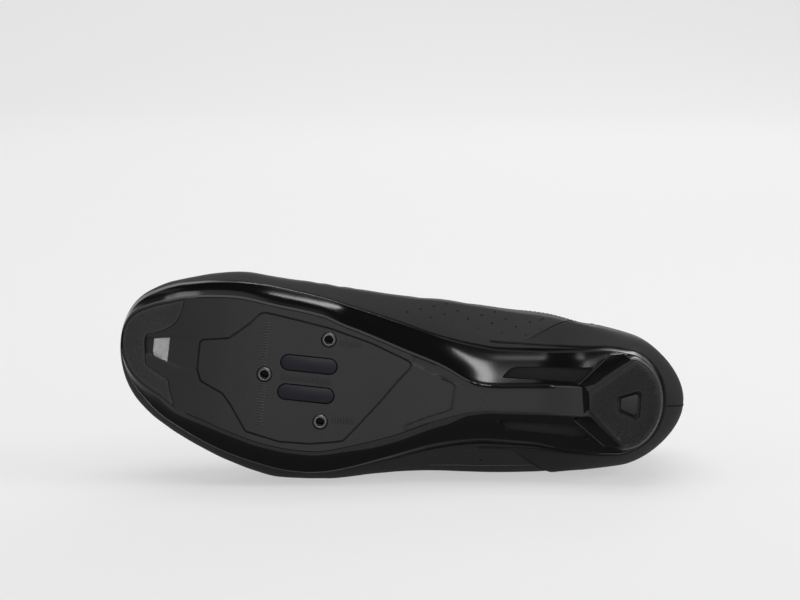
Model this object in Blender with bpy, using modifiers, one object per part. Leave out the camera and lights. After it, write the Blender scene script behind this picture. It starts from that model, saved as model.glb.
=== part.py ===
"""A right road cycling shoe with a three-bolt sole, lying on its outer side.

It is modelled in the shoe's own frame: +X from heel to toe, +Y to the inner (medial) side, +Z up from the
ground under the sole. At the end the whole shoe is turned onto its outer side and set on z = 0.
"""

import math

import bmesh
import bpy
from mathutils import Matrix, Vector

# Lengths of the shoe, in metres
OVERALL_LENGTH = 0.305
SOLE_WIDTH = 0.0978
HEEL_OVERHANG = 0.0106
TOE_OVERHANG = 0.0006
HEEL_LEAN = 0.022
TOE_ROLL = 0.024
INSTEP_HEIGHT = 0.118
WIDEST_RISE = 0.021

# Sole
SOLE_THICKNESS = 0.008
TOE_SPRING = 0.026
ARCH_LIFT = 0.0095
RIM_RISE = 0.0045
RIM_WALL = 0.0015
BED_INSET = 0.0012
RIM_FLARE = 0.003
INNER_FLARE = 0.15
OUTER_FLARE = 1.35
FLANGE_BASE = 0.0022
PLATE_LIP = 0.0018
LIP_REACH = 0.14
SWEEP_REACH = 0.5
SWEEP_RISE = 0.72
PLATE_TOE_INSET = 0.0014
PLATE_HEEL_INSET = 0.0134
PANEL_GROOVE = 0.0012
PANEL_GROOVE_DEPTH = 0.0008
POCKET_FLOOR = 0.0018

# Pads, screen and inner sole
HEEL_PAD_THICKNESS = 0.004
HEEL_PAD_INSET = 0.0006
TOE_PAD_THICKNESS = 0.0022
TOE_PAD_INSET = 0.0012
TOE_PAD_PROUD = 0.0003
SCREEN_THICKNESS = 0.0008
SCREEN_DEPTH = 0.0016
BOSS_HEIGHT = 0.0026
BOSS_ROOT = 0.002
INSOLE_THICKNESS = 0.0035
INSOLE_LAYERS = ((0.0, 0.001), (0.4, 0.0), (1.0, 0.0006))

# Cleat fastening: a triangle of threaded inserts and two plugged slots
BOLT_SPREAD = 0.044
BOLT_REACH = 0.032
INSERT_RADIUS = 0.0037
INSERT_BORE = 0.0021
INSERT_LENGTH = 0.006
INSERT_LEAD = 0.0004
PLUG_LENGTH = 0.0294
PLUG_WIDTH = 0.0077
PLUG_SPREAD = 0.0157
PLUG_DEPTH = 0.002
PLUG_SETBACK = 0.0069

# Upper, its overlays and the tongue
UPPER_WALL = 0.002
COUNTER_THICKNESS = 0.001
TONGUE_THICKNESS = 0.004
STRAP_THICKNESS = 0.002
STRAP_WIDTH = 0.02
THROAT_WIDTH = 0.036
GAP = 0.0003
CURVED_GAP = 0.0006

# How far the round ends of the outlines reach, as shares of the overall length
RIM_HEEL_ROUND = 0.068
PLATE_HEEL_ROUND = 0.058
SOLE_TOE_ROUND = 0.1
UPPER_ROUND = 0.098
CREST_ROUND = 0.1

# Bulge of the upper's sides between the rim and its widest line
SIDE_BULGE = 1.6

# Throat: where it starts and ends along the crest, how much it narrows, and the reach of its round front end
THROAT_BACK = 0.25
THROAT_FRONT = 0.70
THROAT_TAPER = 0.25
THROAT_ROUND = 0.05
THROAT_LEVELS = (0.45, 1.6)

# How far cutters reach past the faces that they cut
CUT_PAST = 0.006

SOLE_STATIONS = 48
UPPER_STATIONS = 44
HEEL_PAD_STATIONS = 24
INSOLE_STATIONS = 28
PAD_STEPS = 3

# Sole outline: place from the heel as a share of the overall length, then middle line and half width as
# shares of the sole's width, over the rim and over the matt plate
SOLE_COLUMNS = ("at", "rim_middle", "rim_half", "plate_middle", "plate_half")
SOLE_ROWS = (
    (0.00, -0.016, 0.275, -0.010, 0.240),
    (0.08, -0.017, 0.278, -0.008, 0.241),
    (0.10, -0.020, 0.286, -0.006, 0.244),
    (0.108, -0.022, 0.289, -0.006, 0.229),
    (0.145, -0.026, 0.297, -0.008, 0.137),
    (0.168, -0.031, 0.293, -0.014, 0.080),
    (0.18, -0.034, 0.289, -0.025, 0.077),
    (0.20, -0.039, 0.286, -0.028, 0.075),
    (0.265, -0.049, 0.273, -0.048, 0.072),
    (0.335, -0.064, 0.270, -0.069, 0.069),
    (0.37, -0.070, 0.281, -0.076, 0.081),
    (0.425, -0.081, 0.312, -0.072, 0.146),
    (0.51, -0.094, 0.388, -0.088, 0.245),
    (0.60, -0.104, 0.462, -0.090, 0.334),
    (0.65, -0.099, 0.489, -0.079, 0.371),
    (0.695, -0.088, 0.496, -0.069, 0.378),
    (0.735, -0.070, 0.492, -0.054, 0.376),
    (0.785, -0.050, 0.476, -0.026, 0.366),
    (0.84, -0.028, 0.439, -0.006, 0.336),
    (0.885, -0.012, 0.394, 0.001, 0.304),
    (0.92, -0.001, 0.358, 0.013, 0.266),
    (0.95, 0.012, 0.338, 0.016, 0.260),
    (1.00, 0.030, 0.337, 0.037, 0.288),
)

# Underside: shares of the heel pad's seat, the arch and the toe spring, of the thickness and of the flare
LIFT_COLUMNS = ("at", "seat", "arch", "spring", "thickness", "flare")
LIFT_ROWS = (
    (0.00, 1.0, 0.00, 0.00, 1.20, 0.30),
    (0.18, 1.0, 0.00, 0.00, 1.20, 0.50),
    (0.26, 0.0, 0.85, 0.00, 1.15, 0.90),
    (0.41, 0.0, 1.00, 0.00, 1.10, 1.00),
    (0.49, 0.0, 0.68, 0.00, 1.05, 0.80),
    (0.575, 0.0, 0.23, 0.00, 1.00, 0.50),
    (0.62, 0.0, 0.00, 0.00, 1.00, 0.40),
    (0.74, 0.0, 0.00, 0.00, 1.00, 0.33),
    (0.80, 0.0, 0.00, 0.05, 1.00, 0.33),
    (0.853, 0.0, 0.00, 0.17, 0.95, 0.33),
    (0.918, 0.0, 0.00, 0.44, 0.90, 0.33),
    (0.967, 0.0, 0.00, 0.75, 0.86, 0.33),
    (1.00, 0.0, 0.00, 1.00, 0.85, 0.33),
)

# Upper: middle line and half width where it is widest, as shares of the sole's width, how high that lies as
# a share of WIDEST_RISE, the crest's height as a share of the instep's, its shift, and how square it is
UPPER_COLUMNS = ("at", "middle", "half", "widest", "crest", "shift", "square")
UPPER_ROWS = (
    (0.00, -0.018, 0.260, 1.00, 0.94, 0.00, 0.84),
    (0.05, -0.026, 0.306, 1.00, 0.97, 0.00, 0.84),
    (0.105, -0.031, 0.352, 1.00, 1.00, 0.01, 0.84),
    (0.18, -0.041, 0.396, 1.00, 1.08, 0.02, 0.86),
    (0.25, -0.049, 0.435, 0.96, 1.12, 0.04, 0.88),
    (0.34, -0.058, 0.455, 0.82, 1.05, 0.06, 0.92),
    (0.425, -0.058, 0.471, 0.70, 0.96, 0.07, 0.94),
    (0.52, -0.074, 0.493, 0.64, 0.86, 0.07, 0.94),
    (0.605, -0.090, 0.527, 0.62, 0.775, 0.07, 0.92),
    (0.695, -0.093, 0.543, 0.60, 0.69, 0.06, 0.90),
    (0.74, -0.079, 0.535, 0.60, 0.655, 0.05, 0.88),
    (0.785, -0.056, 0.521, 0.60, 0.62, 0.04, 0.88),
    (0.84, -0.039, 0.478, 0.60, 0.585, 0.03, 0.86),
    (0.885, -0.030, 0.428, 0.58, 0.56, 0.02, 0.86),
    (0.915, -0.022, 0.391, 0.55, 0.545, 0.01, 0.86),
    (0.955, -0.013, 0.368, 0.50, 0.525, 0.00, 0.86),
    (1.00, 0.004, 0.371, 0.42, 0.505, 0.00, 0.86),
)

# Collar line seen from the side: shares of the overall length and of the instep's height
COLLAR_LINE = (
    (-0.10, 0.88), (0.035, 0.88), (0.07, 0.82), (0.12, 0.72), (0.18, 0.65), (0.24, 0.63), (0.29, 0.67),
    (0.33, 0.75), (0.36, 0.84), (0.375, 0.92), (0.38, 1.5), (-0.10, 1.5),
)

# Panel groove round the cleat: shares of the overall length and of the sole's width
PANEL_CORNERS = (
    (0.853, 0.090), (0.803, 0.120), (0.786, 0.165), (0.769, 0.213), (0.754, 0.270), (0.745, 0.281),
    (0.701, 0.264), (0.629, 0.232), (0.556, 0.172), (0.490, 0.095), (0.483, 0.078), (0.486, 0.050),
    (0.501, -0.009), (0.531, -0.144), (0.572, -0.312), (0.588, -0.373), (0.644, -0.405), (0.698, -0.411),
    (0.758, -0.374), (0.789, -0.238), (0.805, -0.183), (0.845, -0.132), (0.853, -0.072),
)

# Toe pad: place round the toe from -1 (outer side) to 1 (inner side), and its inner edge as shares
TOE_PAD_ROWS = (
    (-1.00, 0.889, -0.274), (-0.88, 0.898, -0.212), (-0.76, 0.904, -0.152), (-0.62, 0.914, -0.138),
    (-0.45, 0.932, -0.112), (-0.30, 0.946, -0.086), (-0.08, 0.9495, -0.022), (0.15, 0.952, 0.043),
    (0.30, 0.949, 0.078), (0.45, 0.935, 0.091), (0.62, 0.918, 0.118), (0.76, 0.903, 0.153),
    (0.88, 0.894, 0.200), (1.00, 0.889, 0.274),
)

TOE_PAD_REACH = 0.109

# Corners of the small openings, as shares of the overall length and of the sole's width
SCREEN_CORNERS = ((0.936, 0.061), (0.906, 0.079), (0.907, -0.061), (0.935, -0.035))
INNER_POCKET = (
    (0.325, 0.051), (0.311, 0.101), (0.300, 0.118), (0.166, 0.165), (0.182, 0.086), (0.194, 0.073),
)
OUTER_POCKET = (
    (0.322, -0.186), (0.303, -0.234), (0.159, -0.227), (0.179, -0.160), (0.190, -0.153), (0.312, -0.180),
)
HEEL_WINDOW = (
    (0.120, 0.026), (0.119, -0.046), (0.087, -0.079), (0.081, -0.060), (0.082, 0.052), (0.087, 0.067),
)
HEEL_PAD_FRONT = 0.1765
BOSS_SHARE = 0.72
PATTERN_CENTRE = (0.683, -0.055)

# What lies ahead of the counter's front edge, seen from the side, in the same shares as the collar line
COUNTER_FRONT = (
    (0.335, 0.05), (0.322, 0.155), (0.30, 0.19), (0.25, 0.245), (0.20, 0.32), (0.17, 0.42), (0.16, 0.70),
    (0.6, 0.70), (0.6, 0.05),
)
COUNTER_LEVELS = (-0.9, 0.25)
COUNTER_SLACK = 0.02

# Where the tongue starts and ends as shares along the crest, and how far it reaches down each side
TONGUE_REACH = (0.255, 0.80)
TONGUE_LEVEL = 0.66

# Straps from the front: place of the middle as a share of the length, and how far down each side they reach
STRAPS = (
    ("strap_front", 0.655, 0.50, 0.42), ("strap_middle", 0.54, 0.52, 0.40), ("strap_rear", 0.425, 0.54, 0.40),
)

# Weight of a litre of each piece in kilograms, by the first word of its name; the rest are plastic
RELATIVE_WEIGHTS = {"upper": 0.9, "strap": 0.9, "tongue": 0.3, "insole": 0.3, "toe": 1.2, "cleat": 7.85}

PART = bpy.data.collections.new("cycling_shoe")
CUTTERS = bpy.data.collections.new("cutters")


def clear_scene():
    for obj in list(bpy.data.objects):
        bpy.data.objects.remove(obj, do_unlink=True)
    bpy.context.scene.collection.children.link(PART)
    bpy.context.scene.collection.children.link(CUTTERS)
    CUTTERS.hide_render = True


def slopes(places, values):
    """Slopes that keep a curve through these values free of overshoot."""
    steps = [(values[i + 1] - values[i]) / (places[i + 1] - places[i]) for i in range(len(places) - 1)]
    found = [steps[0]]
    for before, after in zip(steps, steps[1:]):
        found.append(0.0 if before * after <= 0 else 2 * before * after / (before + after))
    found.append(steps[-1])
    return found


class Table:
    """Smooth curves through named columns; the first column is the place."""

    def __init__(self, columns, rows):
        self.places = [row[0] for row in rows]
        self.values = {name: [row[i] for row in rows] for i, name in enumerate(columns)}
        self.slopes = {name: slopes(self.places, self.values[name]) for name in columns[1:]}

    def at(self, column, place):
        place = min(max(place, self.places[0]), self.places[-1])
        i = max(k for k in range(len(self.places) - 1) if self.places[k] <= place)
        span = self.places[i + 1] - self.places[i]
        t = (place - self.places[i]) / span
        start, end = self.values[column][i:i + 2]
        lead, trail = self.slopes[column][i:i + 2]
        return (
            start * (1 + 2 * t) * (1 - t) ** 2 + lead * span * t * (1 - t) ** 2
            + end * t * t * (3 - 2 * t) - trail * span * t * t * (1 - t)
        )


SOLE = Table(SOLE_COLUMNS, SOLE_ROWS)
LIFT = Table(LIFT_COLUMNS, LIFT_ROWS)
UPPER = Table(UPPER_COLUMNS, UPPER_ROWS)


def spot(at, aside):
    """A point of the plan from shares of the length and of the sole's width."""
    return at * OVERALL_LENGTH, aside * SOLE_WIDTH


def stations(count):
    """Shares from heel to toe, closer together towards both ends."""
    return [(1 - math.cos(math.pi * i / count)) / 2 for i in range(count + 1)]


def rounding(x, heel, toe, heel_round, toe_round):
    """How much of the full width is left near the rounded ends of an outline."""
    left = 1.0
    for distance, reach in ((x - heel, heel_round), (toe - x, toe_round)):
        if distance < reach:
            left *= math.sqrt(max(0.0, 1 - (1 - max(distance, 0.0) / reach) ** 2))
    return left


def underside(x):
    """Height of the sole's underside over the ground."""
    at = x / OVERALL_LENGTH
    seat = HEEL_PAD_THICKNESS + GAP
    return LIFT.at("seat", at) * seat + LIFT.at("arch", at) * ARCH_LIFT + LIFT.at("spring", at) * TOE_SPRING


def footbed(x):
    return underside(x) + LIFT.at("thickness", x / OVERALL_LENGTH) * SOLE_THICKNESS


def flare(x):
    return LIFT.at("flare", x / OVERALL_LENGTH) * RIM_FLARE


def lean(share, side):
    """Share of the flare on one side. The two sides differ in the middle and meet at the heel and the toe."""
    return 1 + ((INNER_FLARE if side > 0 else OUTER_FLARE) - 1) * math.sin(math.pi * share)


def edge(share, side, inset, kind):
    """A point of an outline of the sole: side is 1 for the inner and -1 for the outer side."""
    if kind == "rim":
        heel, toe = HEEL_OVERHANG + inset, OVERALL_LENGTH - TOE_OVERHANG - inset
        heel_round = RIM_HEEL_ROUND * OVERALL_LENGTH
    else:
        heel, toe = PLATE_HEEL_INSET + inset, OVERALL_LENGTH - PLATE_TOE_INSET - inset
        heel_round = PLATE_HEEL_ROUND * OVERALL_LENGTH
    x = heel + (toe - heel) * share
    at = x / OVERALL_LENGTH
    left = rounding(x, heel, toe, heel_round, SOLE_TOE_ROUND * OVERALL_LENGTH)
    half = (SOLE.at(kind + "_half", at) * SOLE_WIDTH - inset) * left
    return x, SOLE.at(kind + "_middle", at) * SOLE_WIDTH + side * half


def foot_line(share, side, grow):
    """Lower edge of the upper, standing on the footbed."""
    x, _ = edge(share, side, 0, "rim")
    x, y = edge(share, side, RIM_WALL + GAP + BED_INSET + flare(x) - grow, "rim")
    return Vector((x, y, footbed(x) + GAP))


def rim_line(share, side, grow):
    """Where the upper leaves the sole's rim."""
    x, y = edge(share, side, RIM_WALL + GAP - grow, "rim")
    return Vector((x, y, footbed(x) + RIM_RISE))


def widest_line(share, side, grow):
    """Where the upper is widest."""
    x = -grow + (OVERALL_LENGTH + 2 * grow) * share
    at = x / OVERALL_LENGTH
    full = UPPER.at("half", at) * SOLE_WIDTH + grow
    reach = UPPER_ROUND * OVERALL_LENGTH
    half = full * rounding(x, -grow, OVERALL_LENGTH + grow, reach, reach)
    height = footbed(x) + UPPER.at("widest", at) * WIDEST_RISE
    return Vector((x, UPPER.at("middle", at) * SOLE_WIDTH + side * half, height))


def crest_line(share, grow):
    """The top of the form, from above the heel to the toe."""
    x = HEEL_LEAN - grow + (OVERALL_LENGTH - TOE_ROLL - HEEL_LEAN + 2 * grow) * share
    ends = rounding(share, 0.0, 1.0, CREST_ROUND, CREST_ROUND)
    y = (UPPER.at("middle", share) + UPPER.at("shift", share) * ends) * SOLE_WIDTH
    return Vector((x, y, UPPER.at("crest", share) * INSTEP_HEIGHT + grow))


def upper_point(share, side, level, grow):
    """A point of the upper's form. Level -2 is the footbed, -1 the rim, 0 the widest line and 1 the crest."""
    if level <= -1:
        return foot_line(share, side, grow).lerp(rim_line(share, side, grow), level + 2)
    widest = widest_line(share, side, grow)
    if level <= 0:
        rim = rim_line(share, side, grow)
        out = 1 - (-level) ** SIDE_BULGE
        point = rim.lerp(widest, out)
        point.z = rim.z + (widest.z - rim.z) * (level + 1)
        return point
    crest = crest_line(share, grow)
    angle = level * math.pi / 2
    square = UPPER.at("square", share)
    across = math.cos(angle) ** square if level < 1 else 0.0
    point = crest.lerp(widest, across)
    point.z = widest.z + (crest.z - widest.z) * math.sin(angle) ** square
    return point


def mesh_object(name, build, collection=PART):
    """An object whose closed mesh is filled in by build, with its faces pointing out."""
    mesh = bpy.data.meshes.new(name)
    shape = bmesh.new()
    build(shape)
    bmesh.ops.remove_doubles(shape, verts=shape.verts, dist=1e-6)
    bmesh.ops.dissolve_degenerate(shape, dist=1e-7, edges=shape.edges)
    bmesh.ops.recalc_face_normals(shape, faces=shape.faces)
    if shape.calc_volume(signed=True) < 0:
        bmesh.ops.reverse_faces(shape, faces=shape.faces)
    shape.to_mesh(mesh)
    shape.free()
    obj = bpy.data.objects.new(name, mesh)
    collection.objects.link(obj)
    if collection is CUTTERS:
        obj.hide_render = True
        obj.display_type = "WIRE"
    return obj


def add_face(shape, corners):
    corners = [corner for i, corner in enumerate(corners) if corner != corners[i - 1]]
    if len(corners) > 2:
        shape.faces.new(corners)


def ring_solid(name, rings, collection=PART):
    """A solid through closed outlines. Each runs up the inner side to the toe and back down the outer side,
    and the first and the last are closed by strips from side to side."""

    def build(shape):
        rows = [[shape.verts.new(point) for point in ring] for ring in rings]
        count = len(rows[0])
        for row, following in zip(rows, rows[1:]):
            for i in range(count):
                after = (i + 1) % count
                shape.faces.new((row[i], row[after], following[after], following[i]))
        for row in (rows[0], rows[-1]):
            for i in range(count // 2):
                add_face(shape, (row[i], row[i + 1], row[-i - 1], row[-i % count]))

    return mesh_object(name, build, collection)


def ring(point_at, shares):
    """A closed outline: the inner side from heel to toe, then the outer side back."""
    inner = [point_at(share, 1) for share in shares]
    outer = [point_at(share, -1) for share in reversed(shares[1:-1])]
    return inner + outer


def sheet_solid(name, lower, upper, collection=PART, walled_ends=True):
    """A solid between two sheets of points with as many rows and columns."""

    def build(shape):
        sheets = [[[shape.verts.new(point) for point in row] for row in sheet] for sheet in (lower, upper)]
        rows, columns = len(lower), len(lower[0])
        for sheet in sheets:
            for i in range(rows - 1):
                for j in range(columns - 1):
                    shape.faces.new((sheet[i][j], sheet[i + 1][j], sheet[i + 1][j + 1], sheet[i][j + 1]))
        under, over = sheets
        for j in (0, columns - 1):
            for i in range(rows - 1):
                shape.faces.new((under[i][j], under[i + 1][j], over[i + 1][j], over[i][j]))
        if walled_ends:
            for i in (0, rows - 1):
                for j in range(columns - 1):
                    shape.faces.new((under[i][j], under[i][j + 1], over[i][j + 1], over[i][j]))

    return mesh_object(name, build, collection)


def prism(name, corners, low, high, collection=CUTTERS):
    """A flat outline in plan, made as a filled curve and raised from low to high."""
    curve = bpy.data.curves.new(name, "CURVE")
    curve.dimensions = "2D"
    curve.fill_mode = "BOTH"
    curve.extrude = (high - low) / 2
    line = curve.splines.new("POLY")
    line.points.add(len(corners) - 1)
    for point, corner in zip(line.points, corners):
        point.co = (corner[0], corner[1], 0, 1)
    line.use_cyclic_u = True
    guide = bpy.data.objects.new(name + "_outline", curve)
    bpy.context.scene.collection.objects.link(guide)
    guide.location.z = (high + low) / 2
    bpy.context.view_layer.update()
    flat = bpy.data.meshes.new_from_object(guide.evaluated_get(bpy.context.evaluated_depsgraph_get()))
    flat.transform(guide.matrix_world)
    bpy.data.objects.remove(guide, do_unlink=True)

    def build(shape):
        shape.from_mesh(flat)

    made = mesh_object(name, build, collection)
    bpy.data.meshes.remove(flat)
    return made


def side_prism(name, corners):
    """A cutter right through the shoe, from an outline seen from the side."""
    outline = [(at * OVERALL_LENGTH, height * INSTEP_HEIGHT) for at, height in corners]
    made = prism(name, outline, -SOLE_WIDTH, SOLE_WIDTH)
    made.data.transform(Matrix.Rotation(math.pi / 2, 4, "X"))
    return made


def combine(target, other, operation="DIFFERENCE"):
    modifier = target.modifiers.new(other.name, "BOOLEAN")
    modifier.operation = operation
    modifier.object = other
    modifier.solver = "EXACT"


def cylinder(name, centre, radius, low, high, collection=CUTTERS):
    def build(shape):
        middle = Matrix.Translation((centre[0], centre[1], (low + high) / 2))
        bmesh.ops.create_cone(
            shape, cap_ends=True, segments=24, radius1=radius, radius2=radius, depth=high - low, matrix=middle
        )

    return mesh_object(name, build, collection)


def pill(centre, length, width, rounds=8):
    """Outline of a slot that lies along the shoe."""
    straight = (length - width) / 2
    corners = []
    for end in (1, -1):
        for i in range(rounds + 1):
            angle = math.pi * (i / rounds - 0.5) + (0 if end > 0 else math.pi)
            corners.append((
                centre[0] + end * straight + width / 2 * math.cos(angle),
                centre[1] + width / 2 * math.sin(angle),
            ))
    return corners


def material(name, colour, roughness, metallic=0.0, coat=0.0):
    made = bpy.data.materials.new(name)
    made.use_nodes = True
    shader = made.node_tree.nodes["Principled BSDF"]
    shader.inputs["Base Color"].default_value = (*colour, 1)
    shader.inputs["Roughness"].default_value = roughness
    shader.inputs["Metallic"].default_value = metallic
    shader.inputs["Coat Weight"].default_value = coat
    return made


def finish(obj, surface, smooth=True):
    obj.data.materials.append(surface)
    if smooth:
        obj.data.shade_smooth()
        obj.data.set_sharp_from_angle(angle=math.radians(35))
    return obj


def bolt_places():
    """Where the three inserts sit: one ahead and two behind, about the middle of the pattern."""
    x, y = spot(*PATTERN_CENTRE)
    return (
        ("front", x + BOLT_REACH / 2, y),
        ("inner", x - BOLT_REACH / 2, y + BOLT_SPREAD / 2),
        ("outer", x - BOLT_REACH / 2, y - BOLT_SPREAD / 2),
    )


def plug_places():
    x, y = spot(*PATTERN_CENTRE)
    x -= PLUG_SETBACK
    return (("inner", x, y + PLUG_SPREAD / 2), ("outer", x, y - PLUG_SPREAD / 2))


def make_sole(surface):
    shares = stations(SOLE_STATIONS)

    def plate(share, side):
        x, y = edge(share, side, 0, "plate")
        return Vector((x, y, underside(x)))

    def low_rim(share, side):
        x, _ = edge(share, side, 0, "rim")
        x, y = edge(share, side, flare(x) * lean(share, side), "rim")
        return Vector((x, y, footbed(x) - FLANGE_BASE))

    def flange_line(out, rise):
        def point_at(share, side):
            start, end = plate(share, side), low_rim(share, side)
            point = start.lerp(end, out)
            point.z = rise(start.z, end.z)
            return point

        return point_at

    def top_rim(share, side):
        x, y = edge(share, side, 0, "rim")
        return Vector((x, y, footbed(x) + RIM_RISE))

    def inner_rim(share, side):
        x, y = edge(share, side, RIM_WALL, "rim")
        return Vector((x, y, footbed(x) + RIM_RISE))

    def bed(share, side):
        point = foot_line(share, side, GAP)
        point.z -= GAP
        return point

    lip = flange_line(LIP_REACH, lambda low, high: low + PLATE_LIP)
    sweep = flange_line(SWEEP_REACH, lambda low, high: low + SWEEP_RISE * (high - low))
    outlines = (plate, lip, sweep, low_rim, top_rim, inner_rim, bed)
    sole = ring_solid("sole", [ring(outline, shares) for outline in outlines])
    return finish(sole, surface)


def cut_cleat_fittings(sole):
    for name, x, y in bolt_places():
        combine(sole, cylinder("bore_" + name, (x, y), INSERT_RADIUS + GAP, -CUT_PAST, INSERT_LENGTH + GAP))
    for name, x, y in plug_places():
        outline = pill((x, y), PLUG_LENGTH + 2 * GAP, PLUG_WIDTH + 2 * GAP)
        combine(sole, prism("slot_" + name, outline, -CUT_PAST, PLUG_DEPTH + GAP))


def cut_panel_groove(sole):
    """A narrow groove round the cleat panel, following the underside."""
    corners = [Vector(spot(*corner)) for corner in PANEL_CORNERS]
    count = len(corners)
    rows = []
    for i, corner in enumerate(corners):
        along = (corners[(i + 1) % count] - corners[i - 1]).normalized()
        out = Vector((along.y, -along.x)) * PANEL_GROOVE / 2
        row = []
        for side, low, high in ((-1, -CUT_PAST, PANEL_GROOVE_DEPTH), (1, PANEL_GROOVE_DEPTH, -CUT_PAST)):
            place = corner + out * side
            row += [Vector((place.x, place.y, underside(place.x) + rise)) for rise in (low, high)]
        rows.append(row)

    def build(shape):
        made = [[shape.verts.new(point) for point in row] for row in rows]
        for i in range(count):
            row, following = made[i], made[(i + 1) % count]
            for j in range(4):
                after = (j + 1) % 4
                shape.faces.new((row[j], row[after], following[after], following[j]))

    combine(sole, mesh_object("panel_groove", build, CUTTERS))


def cut_arch_pockets(sole):
    for name, corners in (("inner_pocket", INNER_POCKET), ("outer_pocket", OUTER_POCKET)):
        places = [spot(*corner) for corner in corners]
        middle = sum(place[0] for place in places) / len(places)
        combine(sole, prism(name, places, -CUT_PAST, footbed(middle) - POCKET_FLOOR))


def underside_sheet(outline, rise):
    """Rows of points across an outline given as pairs of edge points, at a height over the underside."""
    rows = []
    for start, end in outline:
        row = []
        for i in range(PAD_STEPS + 1):
            x = start[0] + (end[0] - start[0]) * i / PAD_STEPS
            y = start[1] + (end[1] - start[1]) * i / PAD_STEPS
            row.append(Vector((x, y, underside(x) + rise)))
        rows.append(row)
    return rows


def toe_pad_outline(slack):
    """Pairs of points on the toe pad's inner and outer edges, moved apart by slack."""
    pairs = []
    for place, at, aside in TOE_PAD_ROWS:
        x, y = spot(at, aside)
        share = 1 - TOE_PAD_REACH * place * place
        outer_x, outer_y = edge(share, 1 if place > 0 else -1, TOE_PAD_INSET - slack, "plate")
        away = Vector((outer_x - x, outer_y - y)).normalized() * slack
        pairs.append(((x - away.x, y - away.y), (outer_x, outer_y)))
    if slack:
        for end, following in ((0, 1), (-1, -2)):
            inner, outer = (Vector(point) for point in pairs[end])
            past = Vector((inner.y - outer.y, outer.x - inner.x)).normalized() * slack
            beside = sum((Vector(point) for point in pairs[following]), Vector((0, 0))) / 2
            if past.dot((inner + outer) / 2 - beside) < 0:
                past = -past
            pairs[end] = (tuple(inner + past), tuple(outer + past))
    return pairs


def make_toe_pad(sole, surface):
    seat_depth = TOE_PAD_THICKNESS - TOE_PAD_PROUD + GAP
    seat = toe_pad_outline(GAP)
    below = underside_sheet(seat, -CUT_PAST)
    above = underside_sheet(seat, seat_depth)
    combine(sole, sheet_solid("toe_pad_seat", below, above, CUTTERS))
    outline = toe_pad_outline(0.0)
    low = underside_sheet(outline, -TOE_PAD_PROUD)
    high = underside_sheet(outline, TOE_PAD_THICKNESS - TOE_PAD_PROUD)
    return finish(sheet_solid("toe_pad", low, high), surface)


def make_toe_screen(sole, surface):
    """The metal mesh of the toe vent, at the bottom of a shallow recess."""
    corners = [Vector(spot(*corner)) for corner in SCREEN_CORNERS]
    middle = sum(corners, Vector((0, 0))) / len(corners)

    def slab(name, slack, low, high, collection):
        placed = [corner + (corner - middle).normalized() * slack for corner in corners]

        def build(shape):
            loops = []
            for rise in (low, high):
                heights = [underside(middle.x) + rise + toe_slope * (p.x - middle.x) for p in placed]
                loops.append([shape.verts.new((p.x, p.y, z)) for p, z in zip(placed, heights)])
            shape.faces.new(loops[0])
            shape.faces.new(loops[1])
            for i in range(len(placed)):
                shape.faces.new((loops[0][i - 1], loops[0][i], loops[1][i], loops[1][i - 1]))

        return mesh_object(name, build, collection)

    toe, heel = (max(corner.x for corner in corners), min(corner.x for corner in corners))
    toe_slope = (underside(toe) - underside(heel)) / (toe - heel)
    depth = SCREEN_DEPTH + SCREEN_THICKNESS
    combine(sole, slab("screen_recess", GAP, -CUT_PAST, depth + GAP, CUTTERS))
    return finish(slab("toe_screen", 0, SCREEN_DEPTH, depth, PART), surface, smooth=False)


def make_heel_pad(sole, surface):
    """The rubber heel pad under its seat, with a window over a boss of the sole."""
    front = HEEL_PAD_FRONT * OVERALL_LENGTH
    shares = stations(HEEL_PAD_STATIONS)

    def outline(height):
        def point_at(share, side):
            heel = PLATE_HEEL_INSET + HEEL_PAD_INSET
            x = heel + (front - heel) * share
            plate_toe = OVERALL_LENGTH - PLATE_TOE_INSET
            along = (x - heel) / (plate_toe - heel)
            _, y = edge(along, side, HEEL_PAD_INSET, "plate")
            return Vector((x, y, height))

        return point_at

    # The pad ends in a straight front edge, so its outline keeps both corners there.
    def closed(height):
        point_at = outline(height)
        return [point_at(s, 1) for s in shares] + [point_at(s, -1) for s in reversed(shares[1:])]

    def build(shape):
        low, high = ([shape.verts.new(p) for p in closed(z)] for z in (0.0, HEEL_PAD_THICKNESS))
        count = len(low)
        for i in range(count):
            after = (i + 1) % count
            shape.faces.new((low[i], low[after], high[after], high[i]))
        for row in (low, high):
            for i in range(len(shares) - 1):
                add_face(shape, (row[i], row[i + 1], row[-i - 1], row[-i % count]))

    pad = mesh_object("heel_pad", build)
    window = [Vector(spot(*corner)) for corner in HEEL_WINDOW]
    combine(pad, prism("heel_window", window, -CUT_PAST, HEEL_PAD_THICKNESS + CUT_PAST))
    middle = sum(window, Vector((0, 0))) / len(window)
    inset = [middle + (corner - middle) * BOSS_SHARE for corner in window]
    seat = underside(middle.x)
    combine(sole, prism("heel_boss", inset, seat - BOSS_HEIGHT, seat + BOSS_ROOT), "UNION")
    return finish(pad, surface)


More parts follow.
